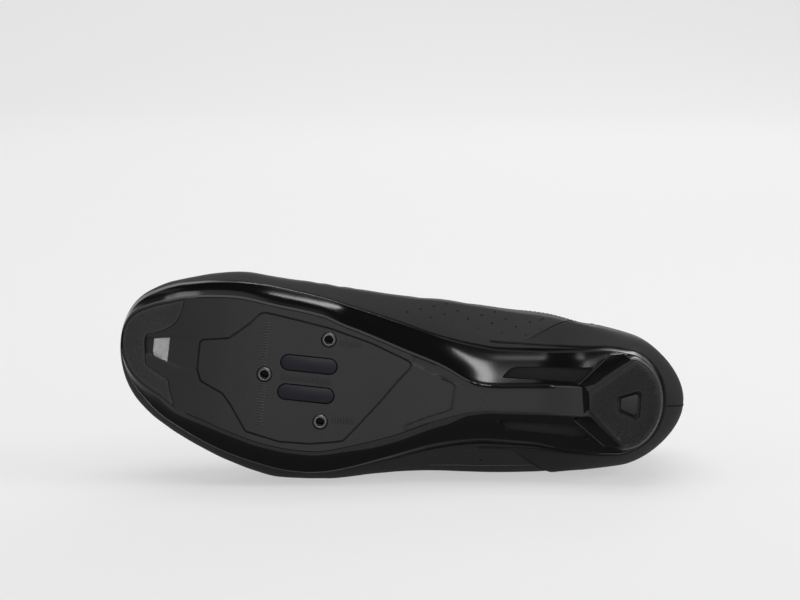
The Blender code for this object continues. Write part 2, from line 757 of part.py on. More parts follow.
def make_inserts(surface):
    """Threaded metal inserts: a turned ring profile round each bolt's axis."""
    for name, x, y in bolt_places():
        profile = bpy.data.meshes.new("cleat_insert_" + name)
        points = (
            (INSERT_RADIUS, 0, 0), (INSERT_RADIUS, 0, INSERT_LENGTH), (INSERT_BORE, 0, INSERT_LENGTH),
            (INSERT_BORE, 0, INSERT_LEAD), (INSERT_BORE + INSERT_LEAD, 0, 0),
        )
        links = [(i, (i + 1) % len(points)) for i in range(len(points))]
        profile.from_pydata(points, links, [])
        insert = bpy.data.objects.new("cleat_insert_" + name, profile)
        PART.objects.link(insert)
        insert.location = (x, y, 0)
        turn = insert.modifiers.new("turn", "SCREW")
        turn.steps = turn.render_steps = 24
        turn.use_merge_vertices = True
        turn.merge_threshold = 1e-6
        turn.use_normal_flip = True
        profile.materials.append(surface)


def make_plugs(surface):
    for name, x, y in plug_places():
        outline = pill((x, y), PLUG_LENGTH, PLUG_WIDTH)
        finish(prism("slot_plug_" + name, outline, 0.0, PLUG_DEPTH, PART), surface)


def make_insole(surface):
    shares = stations(INSOLE_STATIONS)

    def layer(height, inset):
        def point_at(share, side):
            point = foot_line(share, side, -UPPER_WALL - CURVED_GAP - inset)
            point.z = footbed(point.x) + height
            return point

        return ring(point_at, shares)

    layers = [layer(GAP + INSOLE_THICKNESS * rise, inset) for rise, inset in INSOLE_LAYERS]
    return finish(ring_solid("insole", layers), surface)


def upper_levels():
    """Levels from the footbed to the crest."""
    flare_levels = [-1 + i / 3 for i in range(1, 4)]
    crown_levels = [i / 8 for i in range(1, 9)]
    return [-2.0, -1.0] + flare_levels + crown_levels


def between(values, low, high):
    """Low, high and the values that lie between them."""
    return [low] + [value for value in values if low + 1e-6 < value < high - 1e-6] + [high]


def facet_place(values, value):
    """The interval of these values that holds a value, and how far along it lies."""
    i = max(k for k in range(len(values) - 1) if values[k] <= value + 1e-9)
    return values[i], values[i + 1], (value - values[i]) / (values[i + 1] - values[i])


def facet_point(share, side, level, grow):
    """A point on the flat faces that the upper is made of, so that what lies on it is parallel to them."""
    before, after, along = facet_place(stations(UPPER_STATIONS), share)
    lower, higher, up = facet_place(upper_levels(), level)
    start = upper_point(before, side, lower, grow).lerp(upper_point(before, side, higher, grow), up)
    end = upper_point(after, side, lower, grow).lerp(upper_point(after, side, higher, grow), up)
    return start.lerp(end, along)


def overlay_sheet(shares, inner_levels, outer_levels, grow):
    """Rows of points over the upper, each from the inner side over the crest to the outer side."""
    rows = []
    for share in shares:
        row = [facet_point(share, 1, level, grow) for level in inner_levels]
        row += [facet_point(share, -1, level, grow) for level in reversed(outer_levels[:-1])]
        rows.append(row)
    return rows


def upper_sheet(grow, shares):
    levels = upper_levels()
    rows = []
    for share in shares:
        inner = [upper_point(share, 1, level, grow) for level in levels]
        outer = [upper_point(share, -1, level, grow) for level in reversed(levels[:-1])]
        rows.append(inner + outer)
    return rows


def make_upper(surface):
    """One hollow shell over the last's form, opened for the collar and the throat."""
    shares = stations(UPPER_STATIONS)
    inside, outside = upper_sheet(-UPPER_WALL, shares), upper_sheet(0.0, shares)
    shell = sheet_solid("upper", inside, outside, walled_ends=False)
    combine(shell, side_prism("collar_opening", COLLAR_LINE))
    low, high = (share * INSTEP_HEIGHT for share in THROAT_LEVELS)
    combine(shell, prism("throat_opening", throat_outline(), low, high))
    return finish(shell, surface)


def throat_outline():
    """The slot over the instep: straight sides that draw in, and a round front end."""
    sides = ([], [])
    steps = 12
    for i in range(steps + 1):
        along = math.sin(math.pi / 2 * i / steps)
        share = THROAT_BACK + (THROAT_FRONT - THROAT_BACK) * along
        crest = crest_line(share, 0.0)
        taper = 1 - THROAT_TAPER * along
        left = min(1.0, (THROAT_FRONT - share) / THROAT_ROUND)
        half = THROAT_WIDTH / 2 * taper * math.sqrt(max(0.0, 1 - (1 - left) ** 2))
        sides[0].append((crest.x, crest.y + half))
        sides[1].append((crest.x, crest.y - half))
    return sides[0] + list(reversed(sides[1]))[1:]


def make_counter(surface):
    """The stiff heel counter over the back of the upper, wrapped round both sides."""
    levels = between(upper_levels(), *COUNTER_LEVELS)
    front = max(at for at, _ in COUNTER_FRONT[:-2]) + COUNTER_SLACK
    shares = between(stations(UPPER_STATIONS), 0.0, front)

    def sheet(grow):
        rows = []
        for level in levels:
            row = [facet_point(share, 1, level, grow) for share in reversed(shares)]
            row += [facet_point(share, -1, level, grow) for share in shares[1:]]
            rows.append(row)
        return rows

    counter = sheet_solid("heel_counter", sheet(CURVED_GAP), sheet(CURVED_GAP + COUNTER_THICKNESS))
    combine(counter, side_prism("counter_front", COUNTER_FRONT))
    return finish(counter, surface)


def make_tongue(surface):
    shares = between(stations(UPPER_STATIONS), *TONGUE_REACH)
    levels = between(upper_levels(), TONGUE_LEVEL, 1.0)
    top = -UPPER_WALL - CURVED_GAP
    low = overlay_sheet(shares, levels, levels, top - TONGUE_THICKNESS)
    high = overlay_sheet(shares, levels, levels, top)
    return finish(sheet_solid("tongue", low, high), surface)


def make_straps(surface):
    """Closing straps across the throat, lying on the upper."""
    half = STRAP_WIDTH / 2 / OVERALL_LENGTH
    for name, middle, inner_reach, outer_reach in STRAPS:
        shares = between(stations(UPPER_STATIONS), middle - half, middle + half)
        inner = between(upper_levels(), inner_reach, 1.0)
        outer = between(upper_levels(), outer_reach, 1.0)
        low = overlay_sheet(shares, inner, outer, CURVED_GAP)
        high = overlay_sheet(shares, inner, outer, CURVED_GAP + STRAP_THICKNESS)
        finish(sheet_solid(name, low, high), surface)


def lie_down():
    """Turns the shoe onto the flat that its weight settles on, on its outer side, and sets it on z = 0."""
    bpy.context.view_layer.update()
    graph = bpy.context.evaluated_depsgraph_get()
    cloud = bmesh.new()
    moment, mass = Vector((0, 0, 0)), 0.0
    for obj in PART.objects:
        shape = obj.evaluated_get(graph).to_mesh()
        shape.transform(obj.matrix_world)
        shape.calc_loop_triangles()
        weight = RELATIVE_WEIGHTS.get(obj.name.split("_")[0], 1.1)
        for triangle in shape.loop_triangles:
            a, b, c = (shape.vertices[i].co for i in triangle.vertices)
            volume = a.dot(b.cross(c)) / 6 * weight
            moment += (a + b + c) / 4 * volume
            mass += volume
        for vertex in shape.vertices:
            cloud.verts.new(vertex.co)
        obj.evaluated_get(graph).to_mesh_clear()
    centre = moment / mass
    bmesh.ops.convex_hull(cloud, input=cloud.verts)
    best = Vector((0, -1, 0))
    most = 0.7
    for face in cloud.faces:
        normal = face.normal.copy()
        if normal.dot(face.calc_center_median() - centre) < 0:
            normal = -normal
        if -normal.y < most:
            continue
        corners = [vertex.co for vertex in face.verts]
        turns = [
            (after - before).cross(centre - before).dot(normal)
            for before, after in zip(corners, corners[1:] + corners[:1])
        ]
        if min(turns) >= 0 or max(turns) <= 0:
            best, most = normal, -normal.y
    cloud.free()
    down = best.normalized()
    back = (Vector((0, 0, 1)) - down * down.z).normalized()
    turn = Matrix((down.cross(back), back, -down))
    stand = bpy.data.objects.new("lying_shoe", None)
    PART.objects.link(stand)
    for obj in list(PART.objects):
        if obj is not stand:
            obj.parent = stand
    points = []
    for obj in PART.objects:
        if obj.type == "MESH":
            shape = obj.evaluated_get(graph).to_mesh()
            points += [turn @ (obj.matrix_world @ vertex.co) for vertex in shape.vertices]
            obj.evaluated_get(graph).to_mesh_clear()
    low = Vector([min(point[i] for point in points) for i in range(3)])
    high = Vector([max(point[i] for point in points) for i in range(3)])
    offset = Vector((-(low.x + high.x) / 2, -(low.y + high.y) / 2, -low.z))
    stand.matrix_world = Matrix.Translation(offset) @ turn.to_4x4()
    for obj in CUTTERS.objects:
        obj.parent = stand
    bpy.context.view_layer.update()


def main():
    clear_scene()
    nylon = material("matt_nylon", (0.030, 0.030, 0.033), 0.5, coat=0.1)
    rubber = material("slate_rubber", (0.042, 0.042, 0.047), 0.75)
    steel = material("steel", (0.62, 0.62, 0.62), 0.3, metallic=1.0)
    mesh_steel = material("steel_mesh", (0.55, 0.55, 0.56), 0.35, metallic=1.0)
    plastic = material("slot_plug_plastic", (0.016, 0.017, 0.022), 0.45)
    cloth = material("charcoal_synthetic", (0.028, 0.027, 0.028), 0.6)
    gloss = material("counter_film", (0.020, 0.020, 0.022), 0.35, coat=0.2)
    foam = material("insole_foam", (0.05, 0.05, 0.055), 0.9)
    padding = material("tongue_fabric", (0.025, 0.025, 0.026), 0.85)
    webbing = material("strap_synthetic", (0.022, 0.022, 0.023), 0.55)
    sole = make_sole(nylon)
    make_toe_pad(sole, rubber)
    make_toe_screen(sole, mesh_steel)
    make_heel_pad(sole, rubber)
    cut_cleat_fittings(sole)
    cut_panel_groove(sole)
    cut_arch_pockets(sole)
    make_inserts(steel)
    make_plugs(plastic)
    make_insole(foam)
    make_upper(cloth)
    make_counter(gloss)
    make_tongue(padding)
    make_straps(webbing)
    lie_down()


main()
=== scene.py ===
import math

import bmesh
import bpy
from mathutils import Matrix, Vector


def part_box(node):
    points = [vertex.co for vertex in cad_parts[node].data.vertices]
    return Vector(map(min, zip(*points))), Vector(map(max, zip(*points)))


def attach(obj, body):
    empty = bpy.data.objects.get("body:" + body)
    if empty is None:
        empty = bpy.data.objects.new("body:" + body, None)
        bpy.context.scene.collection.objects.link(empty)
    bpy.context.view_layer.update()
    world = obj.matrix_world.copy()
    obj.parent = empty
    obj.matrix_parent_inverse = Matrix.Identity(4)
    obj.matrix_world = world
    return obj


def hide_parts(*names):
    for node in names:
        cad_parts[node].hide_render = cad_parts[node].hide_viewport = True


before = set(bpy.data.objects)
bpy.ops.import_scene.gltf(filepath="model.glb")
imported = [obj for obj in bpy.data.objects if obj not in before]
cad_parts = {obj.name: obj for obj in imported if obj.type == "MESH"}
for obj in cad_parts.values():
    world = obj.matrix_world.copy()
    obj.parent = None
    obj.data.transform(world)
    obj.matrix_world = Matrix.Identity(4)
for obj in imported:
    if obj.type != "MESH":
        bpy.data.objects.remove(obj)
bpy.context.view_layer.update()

# Sizes of the shoe in metres, in its own frame: x from heel to toe, y to the inner side, z up from the ground
shoe = {
    "length": 0.305,
    "soleWidth": 0.0978,
    "heelOverhang": 0.0106,
    "toeOverhang": 0.0006,
    "heelLean": 0.022,
    "toeRoll": 0.024,
    "instep": 0.118,
    "widestRise": 0.021,
    "soleThickness": 0.008,
    "toeSpring": 0.026,
    "archLift": 0.0095,
    "rimRise": 0.0045,
    "rimWall": 0.0015,
    "bedInset": 0.0012,
    "rimFlare": 0.003,
    "innerFlare": 0.15,
    "outerFlare": 1.35,
    "flangeBase": 0.0022,
    "plateToe": 0.0014,
    "plateHeel": 0.0134,
    "heelPad": 0.004,
    "gap": 0.0003,
    "curvedGap": 0.0006,
    "wall": 0.002,
    "patternAt": 0.683,
    "patternAside": -0.055,
    "boltSpread": 0.044,
    "boltReach": 0.032,
}


def slopesOf(places, values):
    steps = [(values[i + 1] - values[i]) / (places[i + 1] - places[i]) for i in range(len(places) - 1)]
    found = [steps[0]]
    for before, after in zip(steps, steps[1:]):
        found.append(0.0 if before * after <= 0 else 2 * before * after / (before + after))  # no overshoot
    return found + [steps[-1]]


class Curves:
    def __init__(self, columns, rows):
        self.places = [row[0] for row in rows]
        self.values = {name: [row[i] for row in rows] for i, name in enumerate(columns)}
        self.slopes = {name: slopesOf(self.places, self.values[name]) for name in columns[1:]}

    def at(self, column, place):
        place = min(max(place, self.places[0]), self.places[-1])
        i = max(k for k in range(len(self.places) - 1) if self.places[k] <= place)
        span = self.places[i + 1] - self.places[i]
        t = (place - self.places[i]) / span
        start, end = self.values[column][i:i + 2]
        lead, trail = self.slopes[column][i:i + 2]
        return (start * (1 + 2 * t) * (1 - t) ** 2 + lead * span * t * (1 - t) ** 2
                + end * t * t * (3 - 2 * t) - trail * span * t * t * (1 - t))


# Outline of the sole over its rim and over the matt plate, as shares of the sole's width
soleCurves = Curves(("at", "rimMiddle", "rimHalf", "plateMiddle", "plateHalf"), (
    (0.00, -0.016, 0.275, -0.010, 0.240),
    (0.08, -0.017, 0.278, -0.008, 0.241),
    (0.10, -0.020, 0.286, -0.006, 0.244),
    (0.108, -0.022, 0.289, -0.006, 0.229),
    (0.145, -0.026, 0.297, -0.008, 0.137),
    (0.168, -0.031, 0.293, -0.014, 0.080),
    (0.18, -0.034, 0.289, -0.025, 0.077),
    (0.20, -0.039, 0.286, -0.028, 0.075),
    (0.265, -0.049, 0.273, -0.048, 0.072),
    (0.335, -0.064, 0.270, -0.069, 0.069),
    (0.37, -0.070, 0.281, -0.076, 0.081),
    (0.425, -0.081, 0.312, -0.072, 0.146),
    (0.51, -0.094, 0.388, -0.088, 0.245),
    (0.60, -0.104, 0.462, -0.090, 0.334),
    (0.65, -0.099, 0.489, -0.079, 0.371),
    (0.695, -0.088, 0.496, -0.069, 0.378),
    (0.735, -0.070, 0.492, -0.054, 0.376),
    (0.785, -0.050, 0.476, -0.026, 0.366),
    (0.84, -0.028, 0.439, -0.006, 0.336),
    (0.885, -0.012, 0.394, 0.001, 0.304),
    (0.92, -0.001, 0.358, 0.013, 0.266),
    (0.95, 0.012, 0.338, 0.016, 0.260),
    (1.00, 0.030, 0.337, 0.037, 0.288),
))
liftCurves = Curves(("at", "seat", "arch", "spring", "thickness", "flare"), (
    (0.00, 1.0, 0.00, 0.00, 1.20, 0.30),
    (0.18, 1.0, 0.00, 0.00, 1.20, 0.50),
    (0.26, 0.0, 0.85, 0.00, 1.15, 0.90),
    (0.41, 0.0, 1.00, 0.00, 1.10, 1.00),
    (0.49, 0.0, 0.68, 0.00, 1.05, 0.80),
    (0.575, 0.0, 0.23, 0.00, 1.00, 0.50),
    (0.62, 0.0, 0.00, 0.00, 1.00, 0.40),
    (0.74, 0.0, 0.00, 0.00, 1.00, 0.33),
    (0.80, 0.0, 0.00, 0.05, 1.00, 0.33),
    (0.853, 0.0, 0.00, 0.17, 0.95, 0.33),
    (0.918, 0.0, 0.00, 0.44, 0.90, 0.33),
    (0.967, 0.0, 0.00, 0.75, 0.86, 0.33),
    (1.00, 0.0, 0.00, 1.00, 0.85, 0.33),
))
upperCurves = Curves(("at", "middle", "half", "widest", "crest", "shift", "square"), (
    (0.00, -0.018, 0.260, 1.00, 0.94, 0.00, 0.84),
    (0.05, -0.026, 0.306, 1.00, 0.97, 0.00, 0.84),
    (0.105, -0.031, 0.352, 1.00, 1.00, 0.01, 0.84),
    (0.18, -0.041, 0.396, 1.00, 1.08, 0.02, 0.86),
    (0.25, -0.049, 0.435, 0.96, 1.12, 0.04, 0.88),
    (0.34, -0.058, 0.455, 0.82, 1.05, 0.06, 0.92),
    (0.425, -0.058, 0.471, 0.70, 0.96, 0.07, 0.94),
    (0.52, -0.074, 0.493, 0.64, 0.86, 0.07, 0.94),
    (0.605, -0.090, 0.527, 0.62, 0.775, 0.07, 0.92),
    (0.695, -0.093, 0.543, 0.60, 0.69, 0.06, 0.90),
    (0.74, -0.079, 0.535, 0.60, 0.655, 0.05, 0.88),
    (0.785, -0.056, 0.521, 0.60, 0.62, 0.04, 0.88),
    (0.84, -0.039, 0.478, 0.60, 0.585, 0.03, 0.86),
    (0.885, -0.030, 0.428, 0.58, 0.56, 0.02, 0.86),
    (0.915, -0.022, 0.391, 0.55, 0.545, 0.01, 0.86),
    (0.955, -0.013, 0.368, 0.50, 0.525, 0.00, 0.86),
    (1.00, 0.004, 0.371, 0.42, 0.505, 0.00, 0.86),
))


def spot(at, aside):
    return at * shoe["length"], aside * shoe["soleWidth"]


def spotsOf(corners):
    return [spot(*corner) for corner in corners]


def stations(count, low=0.0, high=1.0):
    return [low + (high - low) * (1 - math.cos(math.pi * i / count)) / 2 for i in range(count + 1)]


def rounding(x, heel, toe, heelRound, toeRound):
    left = 1.0
    for distance, reach in ((x - heel, heelRound), (toe - x, toeRound)):
        if distance < reach:
            left *= math.sqrt(max(0.0, 1 - (1 - max(distance, 0.0) / reach) ** 2))
    return left


def underside(x):
    at = x / shoe["length"]
    return (liftCurves.at("seat", at) * (shoe["heelPad"] + shoe["gap"]) + liftCurves.at("arch", at) * shoe["archLift"]
            + liftCurves.at("spring", at) * shoe["toeSpring"])


def slopeAt(x):
    return (underside(x + 0.001) - underside(x - 0.001)) / 0.002


def footbed(x):
    return underside(x) + liftCurves.at("thickness", x / shoe["length"]) * shoe["soleThickness"]


def flare(x):
    return liftCurves.at("flare", x / shoe["length"]) * shoe["rimFlare"]


def lean(share, side):
    factor = shoe["innerFlare"] if side > 0 else shoe["outerFlare"]
    return 1 + (factor - 1) * math.sin(math.pi * share)


def edge(share, side, inset, kind):
    if kind == "rim":
        heel, toe = shoe["heelOverhang"] + inset, shoe["length"] - shoe["toeOverhang"] - inset
        heelRound, toeRound = 0.068 * shoe["length"], 0.1 * shoe["length"]
    else:
        heel, toe = shoe["plateHeel"] + inset, shoe["length"] - shoe["plateToe"] - inset
        heelRound, toeRound = 0.058 * shoe["length"], 0.1 * shoe["length"]
    x = heel + (toe - heel) * share
    at = x / shoe["length"]
    half = soleCurves.at(kind + "Half", at) * shoe["soleWidth"] - inset
    half *= rounding(x, heel, toe, heelRound, toeRound)
    return x, soleCurves.at(kind + "Middle", at) * shoe["soleWidth"] + side * half


def footLine(share, side, grow):
    x, _ = edge(share, side, 0, "rim")
    x, y = edge(share, side, shoe["rimWall"] + shoe["gap"] + shoe["bedInset"] + flare(x) - grow, "rim")
    return Vector((x, y, footbed(x) + shoe["gap"]))


def rimLine(share, side, grow):
    x, y = edge(share, side, shoe["rimWall"] + shoe["gap"] - grow, "rim")
    return Vector((x, y, footbed(x) + shoe["rimRise"]))


def widestLine(share, side, grow):
    x = -grow + (shoe["length"] + 2 * grow) * share
    at = x / shoe["length"]
    reach = 0.098 * shoe["length"]
    half = upperCurves.at("half", at) * shoe["soleWidth"] + grow
    half *= rounding(x, -grow, shoe["length"] + grow, reach, reach)
    height = footbed(x) + upperCurves.at("widest", at) * shoe["widestRise"]
    return Vector((x, upperCurves.at("middle", at) * shoe["soleWidth"] + side * half, height))


def crestLine(share, grow):
    x = shoe["heelLean"] - grow + (shoe["length"] - shoe["toeRoll"] - shoe["heelLean"] + 2 * grow) * share
    ends = rounding(share, 0.0, 1.0, 0.1, 0.1)
    y = (upperCurves.at("middle", share) + upperCurves.at("shift", share) * ends) * shoe["soleWidth"]
    return Vector((x, y, upperCurves.at("crest", share) * shoe["instep"] + grow))


# A point of the upper's form: level -2 is the footbed, -1 the rim, 0 the widest line and 1 the crest
def upperPoint(share, side, level, grow):
    if level <= -1:
        return footLine(share, side, grow).lerp(rimLine(share, side, grow), level + 2)
    widest = widestLine(share, side, grow)
    if level <= 0:
        rim = rimLine(share, side, grow)
        point = rim.lerp(widest, 1 - (-level) ** 1.6)
        point.z = rim.z + (widest.z - rim.z) * (level + 1)
        return point
    crest = crestLine(share, grow)
    angle = level * math.pi / 2
    square = upperCurves.at("square", share)
    across = math.cos(angle) ** square if level < 1 else 0.0
    point = crest.lerp(widest, across)
    point.z = widest.z + (crest.z - widest.z) * math.sin(angle) ** square
    return point


def boltPlaces():
    x, y = spot(shoe["patternAt"], shoe["patternAside"])
    reach, spread = shoe["boltReach"] / 2, shoe["boltSpread"] / 2
    return {"front": (x + reach, y), "inner": (x - reach, y + spread), "outer": (x - reach, y - spread)}


# The shoe lies on its side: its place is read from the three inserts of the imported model
def readPlace():
    marks = {name: Vector((x, y, 0.003)) for name, (x, y) in boltPlaces().items()}
    found = {}
    for name in marks:
        low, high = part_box("cleat_insert_" + name)
        found[name] = (low + high) / 2
    across = (found["inner"] - found["outer"]).normalized()
    along = found["front"] - (found["inner"] + found["outer"]) / 2
    along = (along - across * along.dot(across)).normalized()
    up = along.cross(across)
    turn = Matrix((along, across, up)).transposed()
    middle = sum(found.values(), Vector()) / 3
    start = sum(marks.values(), Vector()) / 3
    return Matrix.Translation(middle - turn @ start) @ turn.to_4x4()


toWorld = readPlace()
print("scene: the shoe's place is read from the inserts")


# Helpers for meshes
def newObject(name, mesh):
    made = bpy.data.objects.new(name, mesh)
    bpy.context.scene.collection.objects.link(made)
    return made


def closedMesh(name, build, merge=1e-6):
    mesh = bpy.data.meshes.new(name)
    shape = bmesh.new()
    build(shape)
    bmesh.ops.remove_doubles(shape, verts=shape.verts, dist=merge)
    bmesh.ops.dissolve_degenerate(shape, dist=1e-7, edges=shape.edges)
    bmesh.ops.recalc_face_normals(shape, faces=shape.faces)
    if shape.calc_volume(signed=True) < 0:
        bmesh.ops.reverse_faces(shape, faces=shape.faces)
    shape.to_mesh(mesh)
    shape.free()
    return mesh


def addFace(shape, corners):
    corners = [corner for i, corner in enumerate(corners) if corner != corners[i - 1]]
    if len(corners) > 2:
        shape.faces.new(corners)


def ringMesh(name, rings):
    def build(shape):
        rows = [[shape.verts.new(point) for point in ring] for ring in rings]
        count = len(rows[0])
        for row, following in zip(rows, rows[1:]):
            for i in range(count):
                after = (i + 1) % count
                shape.faces.new((row[i], row[after], following[after], following[i]))
        for row in (rows[0], rows[-1]):
            for i in range(count // 2):
                addFace(shape, (row[i], row[i + 1], row[-i - 1], row[-i % count]))

    return closedMesh(name, build)


def ringOf(pointAt, shares):
    return [pointAt(s, 1) for s in shares] + [pointAt(s, -1) for s in reversed(shares[1:-1])]


def sheetMesh(name, lower, upper):
    def build(shape):
        sheets = [[[shape.verts.new(point) for point in row] for row in sheet] for sheet in (lower, upper)]
        rows, columns = len(lower), len(lower[0])
        for sheet in sheets:
            for i in range(rows - 1):
                for j in range(columns - 1):
                    shape.faces.new((sheet[i][j], sheet[i + 1][j], sheet[i + 1][j + 1], sheet[i][j + 1]))
        under, over = sheets
        for j in (0, columns - 1):
            for i in range(rows - 1):
                shape.faces.new((under[i][j], under[i + 1][j], over[i + 1][j], over[i][j]))
        for i in (0, rows - 1):
            for j in range(columns - 1):
                shape.faces.new((under[i][j], under[i][j + 1], over[i][j + 1], over[i][j]))

    return closedMesh(name, build)


# A flat outline raised between two heights, which may be functions of x
def prismMesh(name, corners, low, high):
    low = low if callable(low) else (lambda x, z=low: z)
    high = high if callable(high) else (lambda x, z=high: z)

    def build(shape):
        loops = [[shape.verts.new((x, y, rise(x))) for x, y in corners] for rise in (low, high)]
        for loop in loops:
            shape.faces.new(loop)
        for i in range(len(corners)):
            shape.faces.new((loops[0][i - 1], loops[0][i], loops[1][i], loops[1][i - 1]))

    return closedMesh(name, build)


def settle(piece):
    bpy.context.view_layer.update()
    found = bpy.data.meshes.new_from_object(piece.evaluated_get(bpy.context.evaluated_depsgraph_get()))
    piece.modifiers.clear()
    old = piece.data
    piece.data = found
    bpy.data.meshes.remove(old)
    return piece


# Cuts or joins each tool mesh with the piece, then removes the tools
def carve(piece, tools, operation="DIFFERENCE"):
    made = []
    for mesh in tools:
        tool = newObject("tool", mesh)
        modifier = piece.modifiers.new("carve", "BOOLEAN")
        modifier.operation = operation
        modifier.object = tool
        modifier.solver = "EXACT"
        made.append(tool)
    settle(piece)
    for tool in made:
        mesh = tool.data
        bpy.data.objects.remove(tool)
        bpy.data.meshes.remove(mesh)
    return piece


def bevel(piece, width, segments=2, angle=35):
    modifier = piece.modifiers.new("edges", "BEVEL")
    modifier.width = width
    modifier.segments = segments
    modifier.limit_method = "ANGLE"
    modifier.angle_limit = math.radians(angle)
    modifier.harden_normals = False
    return piece


# Moves a finished piece into the shared frame, gives it its finish, and hides the model's nodes that it stands for
def place(piece, finish, slot, stands=(), smooth=40):
    settle(piece)
    piece.data.transform(toWorld)
    indices = [polygon.material_index for polygon in piece.data.polygons]
    piece.data.materials.clear()
    for one in finish if isinstance(finish, (list, tuple)) else (finish,):
        piece.data.materials.append(one)
    if len(piece.data.materials) > 1:
        piece.data.polygons.foreach_set("material_index", indices)
    piece.data.shade_smooth()
    piece.data.set_sharp_from_angle(angle=math.radians(smooth))
    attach(piece, "root")
    if stands:
        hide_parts(*stands)
    return piece


# Node groups shared by the materials
def newGroup(name, kind, inputs, outputs):
    tree = bpy.data.node_groups.new(name, kind)
    for label, socket, value in inputs:
        made = tree.interface.new_socket(label, in_out="INPUT", socket_type=socket)
        if value is not None:
            made.default_value = value
    for label, socket in outputs:
        tree.interface.new_socket(label, in_out="OUTPUT", socket_type=socket)
    return tree, tree.nodes.new("NodeGroupInput"), tree.nodes.new("NodeGroupOutput")


def mathNode(tree, operation, first, second=None):
    node = tree.nodes.new("ShaderNodeMath")
    node.operation = operation
    for socket, value in zip(node.inputs, (first, second)):
        if isinstance(value, (int, float)):
            socket.default_value = value
        elif value is not None:
            tree.links.new(value, socket)
    return node.outputs[0]


def noiseNode(tree, vector, scale, detail=1.0):
    node = tree.nodes.new("ShaderNodeTexNoise")
    node.inputs["Detail"].default_value = detail
    tree.links.new(vector, node.inputs["Vector"])
    if isinstance(scale, (int, float)):
        node.inputs["Scale"].default_value = scale
    else:
        tree.links.new(scale, node.inputs["Scale"])
    return node.outputs["Fac"]


# Pebbled grain: rounded cells broken up by noise, and broad patches for colour
def makeGrainGroup():
    tree, start, end = newGroup("surfaceGrain", "ShaderNodeTree",
                                (("Vector", "NodeSocketVector", None), ("Cell Scale", "NodeSocketFloat", 1500.0),
                                 ("Fine Scale", "NodeSocketFloat", 3000.0), ("Patch Scale", "NodeSocketFloat", 25.0)),
                                (("Height", "NodeSocketFloat"), ("Patch", "NodeSocketFloat")))
    cells = tree.nodes.new("ShaderNodeTexVoronoi")
    cells.feature = "F1"
    tree.links.new(start.outputs["Vector"], cells.inputs["Vector"])
    tree.links.new(start.outputs["Cell Scale"], cells.inputs["Scale"])
    fine = noiseNode(tree, start.outputs["Vector"], start.outputs["Fine Scale"])
    height = mathNode(tree, "SUBTRACT", fine, mathNode(tree, "MULTIPLY", cells.outputs["Distance"], 0.8))
    tree.links.new(height, end.inputs["Height"])
    tree.links.new(noiseNode(tree, start.outputs["Vector"], start.outputs["Patch Scale"], 2.0), end.inputs["Patch"])
    return tree


# Plain weave: threads that pass over and under each other
def makeWeaveGroup():
    tree, start, end = newGroup("plainWeave", "ShaderNodeTree",
                                (("Vector", "NodeSocketVector", None), ("Thread Scale", "NodeSocketFloat", 5000.0)),
                                (("Height", "NodeSocketFloat"), ("Patch", "NodeSocketFloat")))
    parts = tree.nodes.new("ShaderNodeSeparateXYZ")
    tree.links.new(start.outputs["Vector"], parts.inputs[0])
    across = mathNode(tree, "ADD", parts.outputs["Y"], parts.outputs["Z"])
    waves = []
    for line in (parts.outputs["X"], across):
        waves.append(mathNode(tree, "SINE", mathNode(tree, "MULTIPLY", line, start.outputs["Thread Scale"])))
    height = mathNode(tree, "ABSOLUTE", mathNode(tree, "MULTIPLY", waves[0], waves[1]))
    tree.links.new(height, end.inputs["Height"])
    tree.links.new(noiseNode(tree, start.outputs["Vector"], 60.0, 2.0), end.inputs["Patch"])
    return tree


# Dust and rubbed places, from 0 to 1
def makeDustGroup():
    tree, start, end = newGroup("dustAndRub", "ShaderNodeTree",
                                (("Vector", "NodeSocketVector", None), ("Speck Scale", "NodeSocketFloat", 900.0),
                                 ("Amount", "NodeSocketFloat", 0.3)), (("Mask", "NodeSocketFloat"),))
    specks = noiseNode(tree, start.outputs["Vector"], start.outputs["Speck Scale"], 2.0)
    clouds = noiseNode(tree, start.outputs["Vector"], 18.0, 2.0)
    level = mathNode(tree, "SUBTRACT", 1.0, mathNode(tree, "MULTIPLY", start.outputs["Amount"], 0.5))
    over = mathNode(tree, "SUBTRACT", mathNode(tree, "ADD", specks, mathNode(tree, "MULTIPLY", clouds, 0.5)), level)
    mask = tree.nodes.new("ShaderNodeClamp")
    tree.links.new(mathNode(tree, "MULTIPLY", over, 6.0), mask.inputs[0])
    tree.links.new(mask.outputs[0], end.inputs["Mask"])
    return tree


grainGroup, weaveGroup, dustGroup = makeGrainGroup(), makeWeaveGroup(), makeDustGroup()


dustLook = {"tone": (0.16, 0.155, 0.15, 1), "share": 0.25}


